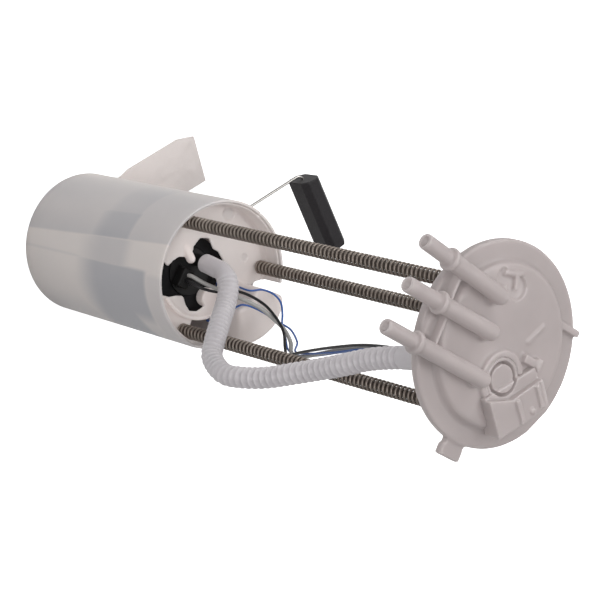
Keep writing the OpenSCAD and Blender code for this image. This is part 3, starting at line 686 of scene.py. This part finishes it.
def runTree(obj, tree, values):
    # Replaces the object by the mesh that the tree makes of it
    modifier = obj.modifiers.new("build", "NODES")
    modifier.node_group = tree
    for socket in tree.interface.items_tree:
        if socket.in_out == "INPUT" and socket.name in values:
            modifier[socket.identifier] = values[socket.name]
    obj.update_tag()
    mesh = evaluated(obj)
    mesh.transform(Matrix.Translation(obj.location))
    name = obj.name
    bpy.data.objects.remove(obj)
    return addObject(name, mesh)


def smoothRoute(points, steps=24):
    route = []
    last = len(points) - 1
    for i in range(last):
        a, b = points[max(i - 1, 0)], points[i]
        c, d = points[i + 1], points[min(i + 2, last)]
        for k in range(steps):
            t = k / steps
            route.append(tuple(
                0.5 * (2 * b[n] + t * (c[n] - a[n]) + t * t * (2 * a[n] - 5 * b[n] + 4 * c[n] - d[n])
                       + t ** 3 * (3 * b[n] - a[n] - 3 * c[n] + d[n])) for n in range(3)))
    route.append(tuple(points[last]))
    return route


def routeCurve(name, points):
    curve = bpy.data.curves.new(name, "CURVE")
    curve.dimensions = "3D"
    route = smoothRoute(points)
    spline = curve.splines.new("POLY")
    spline.points.add(len(route) - 1)
    for point, (x, y, z) in zip(spline.points, route):
        point.co = (x * mm, y * mm, z * mm, 1.0)
    length = sum((Vector(b) - Vector(a)).length for a, b in zip(route, route[1:]))
    return addObject(name, curve), length


# Coil springs. Their sizes are in metres, and the circle they stand on in millimetres

springs = {
    "low": 0.15305, "high": 0.43345, "wire": 0.0008, "coil": 0.0039, "turns": 71.0,
    "circle": 43.0, "angles": {"spring_back": 118, "spring_left": 238, "spring_front": 358},
}
for node, angle in springs["angles"].items():
    holder = addObject(node + "Coil", bpy.data.meshes.new(node))
    x, y = onCircle(springs["circle"], angle)
    holder.location = (x * mm, y * mm, 0)
    coil = runTree(holder, springTree, {
        "Low": springs["low"], "High": springs["high"], "Coil Radius": springs["coil"],
        "Wire Radius": springs["wire"], "Turns": springs["turns"], "Material": springSteel})
    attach(coil, "module")
    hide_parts(node)
    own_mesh(coil)
print("springs ready")


# Hose and wires. Routes are in millimetres, radii and ribs in metres

hoseRoute = [
    (-4.2, -7.6, 157), (-3, -7.1, 166.5), (-1, -5.6, 177.2), (7, -4, 186), (20, -5, 192),
    (32.6, -9.7, 200.2), (46, -13.7, 208.1), (57.3, -15.7, 215.2), (64.6, -14.3, 230.6),
    (63.9, -14.7, 249.9), (59.5, -14, 271.5), (52.6, -14.8, 295.1), (44.8, -15.7, 320.1),
    (38.6, -18.8, 343.1), (32, -22, 366), (27, -25, 392), (24.5, -26, 412), (24.5, -26, 424)]
wireRoutes = {
    "wire_grey": [
        (8, -14, 152.2), (8, -13, 157), (9, -6, 162), (9.5, 1, 171), (9.5, 11, 183),
        (10.5, 23, 192.5), (14, 33, 199), (18, 37, 207.5), (24.5, 38, 217), (32, 35.5, 226),
        (33, 31, 243), (25, 16.5, 291.5), (20, 4.5, 337), (15.5, 2, 379), (13, 2, 412),
        (13, 2, 422)],
    "wire_black": [
        (12, -14, 152.2), (12, -13, 157), (13, -7, 163), (10.5, 4.5, 167), (5, 13.5, 177),
        (6.5, 24, 190.5), (12.5, 31, 201.5), (20, 34.5, 210.5), (30, 34.5, 218.5),
        (35.5, 31.5, 228), (32, 25, 245.5), (24.5, 12, 292), (19.5, 0.5, 336.5),
        (16.5, -1.5, 381), (17, 2, 412), (17, 2, 422)],
    "wire_blue_long": [
        (-37, 25, 106), (-28, 28, 112), (-13, 31, 123), (-2, 26, 138), (1, 20, 150),
        (1, 18, 166), (1.5, 18.5, 179.5), (-2.5, 25, 184), (-2.5, 30.5, 190), (1, 34.5, 195.5),
        (8, 36.5, 199.5), (15, 37.5, 202.5), (23, 39.5, 209), (30.5, 40, 217.5),
        (31.5, 33, 245.5), (24, 22, 291), (18, 9, 336.5), (11, 5, 380), (13, 6, 412),
        (13, 6, 422)],
    "wire_blue_short": [
        (-37, 25, 102), (-24, 27, 110), (0, 34, 122), (20, 29, 136), (29, 18, 150),
        (25, 16, 164), (14.5, 15, 179), (12, 17.5, 183.5), (11.5, 24, 188), (12.5, 32.5, 193.5),
        (14, 37.5, 199), (16, 41.5, 208), (23, 40.5, 220.5), (31.5, 30.5, 237),
        (28, 15.5, 286.5), (22, 2.5, 333), (20, -3.5, 379), (20.5, 3, 412), (20.5, 3, 422)],
}
wireLooks = {
    "wire_grey": (0.0014, greyJacket, "grey_jacket"),
    "wire_black": (0.00100, blackJacket, "black_jacket"),
    "wire_blue_long": (0.0007, blueJacket, "blue_jacket"),
    "wire_blue_short": (0.0007, blueJacket, "blue_jacket"),
}

hose = {"radius": 0.0071, "ribs": 0.0023, "pitch": 0.0032, "farPitch": 0.0056, "farFrom": 0.078,
        "cuff": 0.027, "cuffStep": 0.0007}
run, length = routeCurve("fuelHose", hoseRoute)
fuelHose = runTree(run, tubeTree, {
    "Radius": hose["radius"], "Rib Depth": hose["ribs"], "Rib Pitch": hose["pitch"],
    "Rib Start": hose["cuff"], "Rib End": length * mm - hose["cuff"], "Cuff Step": hose["cuffStep"],
    "Far Pitch": hose["farPitch"], "Far From": hose["farFrom"],
    "Steps": int(length / 0.3), "Sides": 28, "Material": hoseWhite})
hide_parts("corrugated_hose")
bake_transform(fuelHose)
print("hose", round(length), "mm")

for node, route in wireRoutes.items():
    radius, look, slotName = wireLooks[node]
    run, length = routeCurve(node + "Run", route)
    wire = runTree(run, tubeTree, {
        "Radius": radius, "Steps": int(length), "Sides": 12, "Material": look})
    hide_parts(node)
    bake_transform(wire)
    print(node, round(length), "mm")


# Reservoir: one skin whose rim height and foot depend on the angle round it. Each span is a pair of
# angles, in degrees, between which the wall or its ledge is cut back

cup = {
    "foot": 50.3, "mouth": 51.5, "height": 170.0, "wall": 2.0, "floor": 6.0, "floorTop": 8.5,
    "ledge": 151.0, "ledgeIn": 47.3, "reliefSpan": (283, 305),
    "lowRim": 160.0, "lowRimSpan": (2, 94), "window": 140.0, "windowSpan": (94, 107),
    "notch": 4.0, "notchSpan": (167.6, 169.8), "strainerSlot": 5.0, "slotSpan": (131.3, 179.5),
    "turnStep": 2.0, "edgeStep": 0.05,
}


def within(angle, span):
    return cup[span][0] <= angle < cup[span][1]


def cupOuter(z):
    return cup["foot"] + (cup["mouth"] - cup["foot"]) * z / cup["height"]


def rimHeight(angle):
    if within(angle, "lowRimSpan"):
        return cup["lowRim"]
    if within(angle, "windowSpan"):
        return cup["window"]
    return cup["height"] - (cup["notch"] if within(angle, "notchSpan") else 0.0)


def cupColumn(angle):
    # The wall's section at one angle, from the middle of the floor's underside round to its top
    h, wall = rimHeight(angle), cup["wall"]
    low = cup["strainerSlot"] if within(angle, "slotSpan") else 0.0
    column = [(0.0, cup["floor"]), (30.0, cup["floor"]), (47.6, cup["floor"]),
              (48.2, cup["floor"] - 0.2), (cupOuter(low) - wall, low), (cupOuter(low) - 0.8, low),
              (cupOuter(low) - 0.2, low + 0.3), (cupOuter(low), low + 1.0)]
    column += [(cupOuter(z), z) for z in (12, 30, 60, 90, 120, 138, h - 6.0, h - 0.7)]
    column += [(cupOuter(h) - 0.2, h - 0.2), (cupOuter(h) - 0.6, h), (cupOuter(h) - wall + 0.6, h),
               (cupOuter(h) - wall + 0.2, h - 0.2), (cupOuter(h) - wall, h - 0.7)]
    inner, ledge = cupOuter(h) - wall, cup["ledge"]
    if h > ledge + 1:
        # The ledge is relieved where the cover's opening reaches the wall
        edge = inner - 0.9 if within(angle, "reliefSpan") else cup["ledgeIn"]
        column += [(inner, ledge + 0.3), (inner - 0.3, ledge), (edge + 0.3, ledge),
                   (edge, ledge - 0.3), (edge, ledge - 2.0), (inner - 0.2, ledge - 5.0)]
    else:
        column += [(inner, h - 1.0 - 0.3 * k) for k in range(6)]
    return column + [(cupOuter(120) - wall, 120), (cupOuter(40) - wall, 40), (48.3, 12.0),
                     (47.9, 9.4), (47.0, 8.6), (30.0, cup["floorTop"]), (0.0, cup["floorTop"])]


def cupSkin():
    edges = [edge for name in cup if name.endswith("Span") for edge in cup[name]]
    steps = set(np.arange(0.0, 360.0, cup["turnStep"]))
    steps = sorted(steps.union(edge + side * cup["edgeStep"] for edge in edges for side in (-1, 1)))
    points, faces = [], []
    for angle in steps:
        c, s = math.cos(math.radians(angle)), math.sin(math.radians(angle))
        points += [(r * c, r * s, z) for r, z in cupColumn(angle)]
    n = len(cupColumn(0.0))
    for i in range(len(steps)):
        a, b = i * n, ((i + 1) % len(steps)) * n
        for k in range(n - 1):
            faces.append((a + k, b + k, b + k + 1, a + k + 1))
    return points, faces


valveSeat = lathe([(0.0, 0.3), (7.2, 0.0), (8.0, 0.6), (8.0, 6.2), (0.0, 6.2)], 48)
pumpSeat = ringPart(12.6, 15.0, 8.0, 14.0, centre=(4.0, -8.0), steps=64)
reservoir = outwards(meshObject("cupReservoir", joined([cupSkin(), valveSeat, pumpSeat])))
dress(reservoir, reservoirSkin)
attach(reservoir, "module")
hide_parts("reservoir")
print("reservoir ready")


# Cover of the reservoir: a plate with openings, rod sleeves, a skirt, a finger and the arched
# shelf that the wires lie on

plate = {
    "radius": 49.0, "low": 151, "high": 153, "voxel": 0.6, "rounding": 3,
    "dishAt": (2, -6), "dish": 32.5, "rib": (30.5, 33), "ribTop": 156, "ribSpan": (-35, 61),
    "sleeve": 5.4, "sleeveLow": 130, "sleeveBore": 2.9, "wireHoleAt": (1, 19), "wireHole": 5,
    "skirtTop": 168.5, "skirtSpan": (109, 361.5), "lowSkirtTop": 159, "lowSkirtSpan": (3, 6),
    "fingerAt": (-9, -25, 151.4), "fingerTurn": -43, "bossAt": (14.8, 10.5), "boss": 6.5,
}
shelf = {
    "inner": 23.4, "outer": 49.9, "low": 149, "high": 183, "span": (44, 98.5), "lipOuter": 52.0,
    "lipLow": 170, "lipSpan": (46, 98.5), "archCentre": 139.6, "arch": 42, "turn": 72,
    "voxel": 1.1, "rounding": 40,
}
rodSpots = [onCircle(springs["circle"], angle) for angle in springs["angles"].values()]

openingOutline = [
    (-2, -22), (0, -27), (4, -30), (9, -32), (6, -41), (20, -46), (34, -37), (28, -26), (27, -21),
    (24, -16), (22, -11), (26, -7), (29, -1), (27, 5), (23, 8), (15, 11), (11, 15), (6, 13), (2, 12),
    (-1, 8), (-4, 8), (-12, 9), (-16, 2), (-16, -3), (-19, -7), (-21, -10), (-18, -17), (-11, -19),
    (-8, -18)]
gapOutline = [(0, 0)] + [onCircle(70, angle) for angle in (6, 35, 64, 92)]
# The plate's edge steps back beside the shelf, up to the back rod's sleeve
nickOutline = [(0, 38), (-5.8, 38.1), (-8.3, 39.2), (-10.2, 41.1), (-11.8, 43.2), (-13.5, 45.2),
               (-13.9, 49), (-15.5, 60), (0, 60)]


def skirtPart(span, top):
    # Lines the cup's wall above the plate, with a fillet at its foot
    profile = [(45, 152), (49.25, 152), (49.25, top), (48.2, top), (47.8, 155.5), (46.6, 153.6)]
    return lathe(profile, 128, *span)


def through(outline):
    return prism(outline, 140, 160)


def shelfMoulding():
    half, low = 30, shelf["archCentre"]
    top = [(y, low + math.sqrt(shelf["arch"] ** 2 - y ** 2)) for y in range(-half, half + 1, 2)]
    above = upright([(-half, 190)] + top + [(half, 190)], 15, 60)
    body = ringPart(shelf["inner"], shelf["outer"], shelf["low"], shelf["high"], *shelf["span"])
    lip = ringPart(48, shelf["lipOuter"], shelf["lipLow"], shelf["high"], *shelf["lipSpan"])
    return moulded("wiringShelf", [("add", [body, lip]), ("cut", [turned(above, shelf["turn"])])],
                   shelf["voxel"], shelf["rounding"])


def plateMoulding():
    low, high, edge = plate["low"], plate["high"], plate["radius"]
    finger = [rod((0, -3, -2), (0, 9.5, 2.5), 3.0, 3.2), ball((0, 9.5, 2.5), 3.2)]
    raised = [post(x, y, plate["sleeve"], plate["sleeveLow"], high) for x, y in rodSpots]
    raised += [
        skirtPart(plate["skirtSpan"], plate["skirtTop"]),
        skirtPart(plate["lowSkirtSpan"], plate["lowSkirtTop"]),
        ringPart(*plate["rib"], 145, plate["ribTop"], *plate["ribSpan"], plate["dishAt"]),
        post(*plate["bossAt"], plate["boss"], 145, high)]
    raised += [moved(turned(part, plate["fingerTurn"]), *plate["fingerAt"]) for part in finger]
    holes = [post(-21, 23.7, 3, 152.2, 160), post(-42, -3, 5, 152.2, 160)]
    holes += [post(x, y, plate["sleeveBore"], 120, 160) for x, y in rodSpots]
    return moulded("coverMoulding", [
        ("add", [lathe([(0, low), (edge, low), (edge, high), (0, high)], 160)]),
        ("cut", [through(gapOutline)]),
        ("add", [post(*plate["dishAt"], plate["dish"], low, high, 96)]),
        ("cut", [through(openingOutline), post(*plate["wireHoleAt"], plate["wireHole"], 140, 160),
                 through(nickOutline)]),
        ("add", raised), ("cut", holes)], plate["voxel"], plate["rounding"])


shelfPiece = shelfMoulding()
cover = plateMoulding()
carve(cover, "UNION", shelfPiece)
cover.data.shade_smooth()
dress(cover, coverWhite)
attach(cover, "module")
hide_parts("cover")


# Rubber isolator: a sleeve round the pump's head, with ears, a collar and lugs to the wall

sleeve = {
    "at": (4, -8), "radius": 21, "collar": 25, "bore": 19.1, "mouth": 16.5, "low": 120, "high": 144,
    "ears": (20, 110, 200, 290), "lugs": (41, 137), "wall": 48.3, "voxel": 0.6, "rounding": 3,
}


def lobeBox(angle, low, high):
    return moved(turned(box(low, high), angle), *sleeve["at"])


def core(r, low, high):
    return post(*sleeve["at"], r, low, high, 64)


isolator = moulded("rubberIsolator", [
    ("add", [core(sleeve["radius"], sleeve["low"], sleeve["high"])]
     + [lobeBox(a, (19, -4, 134), (23.2, 4, 143)) for a in sleeve["ears"]]
     + [core(sleeve["collar"], 137, sleeve["high"]), lobeBox(308, (18, -13, 137.5), (42, 13, 143.5)),
        lobeBox(302, (34, -8, 140), (44, 8, 150.5))]
     + [lobeBox(a, (18, -9, 137.5), (31, 9, 143.5)) for a in sleeve["lugs"]]),
    ("cut", [ringPart(sleeve["wall"], 70, 110, 155), core(sleeve["bore"], 110, 141),
             core(sleeve["mouth"], 110, 150)]),
], sleeve["voxel"], sleeve["rounding"])
dress(isolator, blackRubber)
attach(isolator, "module")
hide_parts("pump_isolator")


# Plug of the pump's two wires

pumpPlug = {
    "body": ((4.7, -18.8, 144.7), (17.3, -10.2, 153.3)), "latch": ((8, -11, 146), (14, -7.2, 151)),
    "key": ((3.2, -18.8, 144.7), (5.2, -14.2, 148.3)), "rib": ((6, -19, 147), (16, -18, 152)),
    "wires": (8, 12), "wireRow": -14, "wireHole": 1.2, "voxel": 0.35, "rounding": 2,
}
plug = moulded("pumpPlug", [
    ("add", [box(*pumpPlug[name]) for name in ("body", "latch", "key", "rib")]),
    ("cut", [post(x, pumpPlug["wireRow"], pumpPlug["wireHole"], 151.5, 156)
             for x in pumpPlug["wires"]]),
], pumpPlug["voxel"], pumpPlug["rounding"])
dress(plug, blackPlastic)
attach(plug, "module")
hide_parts("pump_plug")


# Flange with its ports. Each port has one value in each list

ports = {
    "x": (-28, -2, 24.5), "tip": (-94, -94, -97), "turn": (-4.2, 0, 0), "z": 452.0,
    "collar": (21.5, 26.5, 24), "elbow": (70, 73.5, 84), "nipple": (70, 70, 71),
    "nippleLow": (422, 422, 410), "end": 4.75, "body": 5.25, "stem": 4.6, "bore": 3.2,
}
disc = {
    "wellAt": (17.5, 6.5), "well": 12.5, "wellRing": 16.5, "wellTurn": 48, "bossLow": 433.6,
    "voxel": 0.8, "rounding": 2,
    # The section from the middle of the underside, round the edge, to the middle of the top
    "section": [(0, 441.5), (46, 441.5), (46.5, 441), (48.6, 427.7), (50.4, 427.7), (50.4, 433.6),
                (61, 433.6), (61.9, 434.6), (61.9, 439.2), (61.1, 439.9), (51, 440), (49.6, 441),
                (48.9, 443), (47.4, 444.6), (45, 445), (0, 445)],
}


def atPort(i, parts):
    # Parts are made along Y from the port's free end
    return [moved(turned(part, ports["turn"][i]), ports["x"][i], ports["tip"][i], ports["z"])
            for part in parts]


def portParts(i):
    collar, elbow, stem = ports["collar"][i], ports["elbow"][i], ports["nipple"][i]
    end, body, low = ports["end"], ports["body"], ports["nippleLow"][i] - ports["z"]
    web = [(elbow, -8), (elbow, 0), (collar + 1, 0), (collar + 1, -6), (40, -13), (54, -13)]
    return atPort(i, [
        rod((0, 0, 0), (0, 1, 0), 4.0, end), rod((0, 1, 0), (0, elbow, 0), end),
        rod((0, collar, 0), (0, collar + 3.5, 0), 6.95),
        rod((0, collar + 1, 0), (0, elbow, 0), body), ball((0, elbow, 0), body),
        rod((0, elbow, -12), (0, elbow, 0), body), upright(web, -1.5, 1.5),
        rod((0, stem, low), (0, stem, -9), ports["stem"]),
        rod((0, stem, low + 1), (0, stem, low + 3), 4.7, 5.2),
        rod((0, stem, low + 5), (0, stem, low + 7), 4.7, 5.2)])


def boreParts(i):
    stem, low, bore = ports["nipple"][i], ports["nippleLow"][i] - ports["z"], ports["bore"]
    return atPort(i, [rod((0, -2, 0), (0, stem, 0), bore),
                      rod((0, stem, low - 2), (0, stem, 0.5), bore)])


def flangeSolids():
    low = disc["bossLow"]
    solids = [lathe(disc["section"], 192)]
    for i in range(3):
        solids += portParts(i)
    solids += [post(x, y, 5, low, 442) for x, y in rodSpots]
    solids += [turned(box((0, -1, low), (39, 1, 442)), a) for a in springs["angles"].values()]
    # Webs and pads under the ports, the fine rib, the rim's tabs, the well's ring and the latch bar
    return solids + [
        box((-28, -56, 439), (-2, -54, 449)), box((-2, -53, 439), (24.5, -51, 448)),
        box((-23, -57, 439), (-11.5, -49.5, 441.6)), box((4, -59, 439), (16, -52, 441.4)),
        moved(turned(box((0, 0, 444), (1.4, 16, 445.8)), 60), -9, 15.5),
        box((-31, 36, 437), (-27, 56, 443.5)), box((59, -7.5, low), (67, 7.5, 438.5)),
        box((65, -9, low), (71.9, 8, 438.5)),
        post(*disc["wellAt"], disc["wellRing"], 444, 447.5, 96),
        box((-2, 16.5, 444), (3, 30.5, 449)), box((-3.5, 26.5, 444), (4.5, 30, 450.2))]


def flangeCuts():
    cuts = []
    for i in range(3):
        cuts += boreParts(i)
    cuts += [post(x, y, 2.6, 430, 439) for x, y in rodSpots]
    # The well, the socket's bed, the two round pockets and the notch in the rim
    return cuts + [
        post(*disc["wellAt"], disc["well"], 425, 456, 96),
        turned(box((21, -26, 440.6), (50, 16, 460)), disc["wellTurn"]),
        post(-33.5, -8, 7.5, 443.3, 447), post(-35.5, -20, 5.5, 443.3, 447),
        turned(box((61.1, -12, 430), (66, 12, 442)), 62)]


# The T-shaped post in the pockets goes in after they are cut
teePost = [moved(turned(box((0.4, 0, 442), (3.2, 15, 446)), 18), -39.5, -22),
           moved(turned(box((0, 0.4, 442), (10.5, 3.2, 446.4)), 20), -41, -14)]
flange = moulded("flangeMoulding", [("add", flangeSolids()), ("cut", flangeCuts()), ("add", teePost)],
                 disc["voxel"], disc["rounding"])
dress(flange, flangeWhite)
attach(flange, "top")
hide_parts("flange")


# Electrical connector on the flange

socket = {
    "plug": 12.4, "low": 433.7, "high": 447.2, "groove": (8.4, 10.4), "grooveLow": 439.5,
    "block": ((21.1, -25.9, 440.7), (46.9, 15.9, 449)), "mouth": ((30.5, -24, 442.6), (60, 14, 451)),
    "roof": [(22, -25.9), (29, -10), (28, 15.9), (46.9, 15.9), (46.9, -25.9)], "roofHigh": 453,
    "voxel": 0.5, "rounding": 2,
}


def inSocket(part):
    return turned(part, disc["wellTurn"])


connector = moulded("connectorMoulding", [
    ("add", [post(*disc["wellAt"], socket["plug"], socket["low"],
                  socket["high"], 96),
             inSocket(box(*socket["block"])),
             inSocket(prism(socket["roof"], 448, socket["roofHigh"])),
             inSocket(box((30.5, -7.8, 452), (46.5, -4.6, 454.4))),
             inSocket(box((29.2, 9, 452), (44.2, 12, 454.4))),
             inSocket(rod((42.5, 3, 452.5), (42.5, 3, 454.1), 2.9, 1.6))]),
    ("cut", [ringPart(*socket["groove"], socket["grooveLow"], 450,
                      centre=disc["wellAt"]),
             inSocket(box(*socket["mouth"]))]),
], socket["voxel"], socket["rounding"])
dress(connector, flangeWhite)
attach(connector, "top")
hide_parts("connector_housing")


# Float: chamfered bar of closed-cell rubber, turned about the arm's wire

arm = {"angle": 146.0, "pivotX": 62.0, "plane": -8.0, "pivotZ": 94.0, "reach": 67.0, "rise": 10.0}
armTilt, armLength = math.atan2(arm["rise"], arm["reach"]), math.hypot(arm["rise"], arm["reach"])
bar = {
    "width": 8.4, "height": 11.0, "chamfer": 4.2, "edge": 0.5, "roll": 12, "slant": 3.2,
    # Distances from the arm's plane, each with the section's share of full size. The last two are
    # the recess round the clip
    "rings": [(-5.5, 0.965), (-5.9, 0.99), (-6.4, 1.0), (-20, 1.0), (-40, 1.0), (-61.1, 1.0),
              (-61.6, 0.99), (-62, 0.965), (-62, 0.53), (-59.6, 0.5)],
}


def fromPivot(part):
    # From the arm's own frame, with X along the arm, to the model's
    c, s = math.cos(armTilt), math.sin(armTilt)
    points = [(arm["pivotX"] + c * x - s * z, arm["plane"] + y, arm["pivotZ"] + s * x + c * z)
              for x, y, z in part[0]]
    return turned((points, part[1]), arm["angle"])


def barOutline():
    w, h, chamfer = bar["width"], bar["height"], bar["chamfer"]
    corners = [(-w + chamfer, -h), (w - chamfer, -h), (w, -h + chamfer), (w, h - chamfer),
               (w - chamfer, h), (-w + chamfer, h), (-w, h - chamfer), (-w, -h + chamfer)]
    outline = []
    for i, corner in enumerate(corners):
        here = Vector(corner)
        for other in (Vector(corners[i - 1]), Vector(corners[(i + 1) % 8])):
            outline.append(tuple(here + (other - here).normalized() * bar["edge"]))
    return outline


def floatPart():
    outline, w, roll = barOutline(), bar["width"], math.radians(bar["roll"])
    points, faces = [], []
    for y, grow in bar["rings"]:
        for x, z in outline:
            x, z = x * grow, z * grow
            # The near end slants, so that its edge towards the arm reaches past the wire's bend
            slant = bar["slant"] * (w - x) / (2 * w) if y > -10 else 0.0
            points.append((armLength + math.cos(roll) * x + math.sin(roll) * z, y + slant,
                           -math.sin(roll) * x + math.cos(roll) * z))
    n, last = len(outline), len(bar["rings"]) - 1
    for i in range(last):
        for k in range(n):
            a, b = i * n + k, i * n + (k + 1) % n
            faces.append((a, b, b + n, a + n))
    return points, faces + ringCap(0, n, True) + ringCap(last * n, n, False)


floatBar = outwards(meshObject("floatBar", fromPivot(floatPart()), False))
dress(floatBar, floatFoam)
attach(floatBar, "float")
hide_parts("float_body")


# Strainer: two layers of cloth welded at the edge and crumpled

cloth = {
    "near": 19.0, "far": 116.0, "half": 19.5, "cells": (140, 56), "middle": 2.4, "thick": (0.25, 4.7),
    "puff": 1.25, "weld": 2.2, "across": 11, "turn": 142,
}


def strainerPoint(u, v, side):
    near, far, half = cloth["near"], cloth["far"], cloth["half"]
    y = -half + 2 * half * v
    # The far end leans, and its corner on the +Y side is cut off
    end = far - 3.5 * (15 - min(y, 15.0)) / (15 + half)
    if y > 15:
        end -= (y - 15) / 4.5 * 15.0
    x = near + (end - near) * u
    y += 1.7 * v * min(max((x - 46) / 8, 0.0), 1.0)
    edge = min(u * (far - near), (1 - u) * (far - near), v * 2 * half, (1 - v) * 2 * half)
    puff = 1.0 - math.exp(-max(edge - cloth["weld"], 0.0) / 5.0)
    crease = noise.noise(Vector((x * 0.06, y * 0.12, side * 3.0))) * 1.7
    crease += noise.noise(Vector((x * 0.17, y * 0.22, side * 7.0))) * 0.6
    z = cloth["middle"] + side * (0.25 + puff * (cloth["puff"] + crease * 0.7))
    return x, y, min(max(z, cloth["thick"][0]), cloth["thick"][1])


def strainerPart():
    nx, ny = cloth["cells"]
    points = [strainerPoint(i / nx, j / ny, side)
              for side in (1, -1) for i in range(nx + 1) for j in range(ny + 1)]
    faces, size = [], (nx + 1) * (ny + 1)
    for i in range(nx):
        for j in range(ny):
            a = i * (ny + 1) + j
            quad = (a, a + ny + 1, a + ny + 2, a + 1)
            faces += [quad, tuple(size + k for k in reversed(quad))]
    border = list(range(ny)) + [i * (ny + 1) + ny for i in range(nx)]
    border += [nx * (ny + 1) + j for j in range(ny, 0, -1)] + [i * (ny + 1) for i in range(nx, 0, -1)]
    for k, a in enumerate(border):
        b = border[(k + 1) % len(border)]
        faces.append((a, b, size + b, size + a))
    return turned(moved((points, faces), 0, cloth["across"]), cloth["turn"])


pouch = outwards(meshObject("strainerPouch", strainerPart()))
dress(pouch, strainerCloth)
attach(pouch, "module")
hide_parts("strainer_pouch")
print("pieces ready")
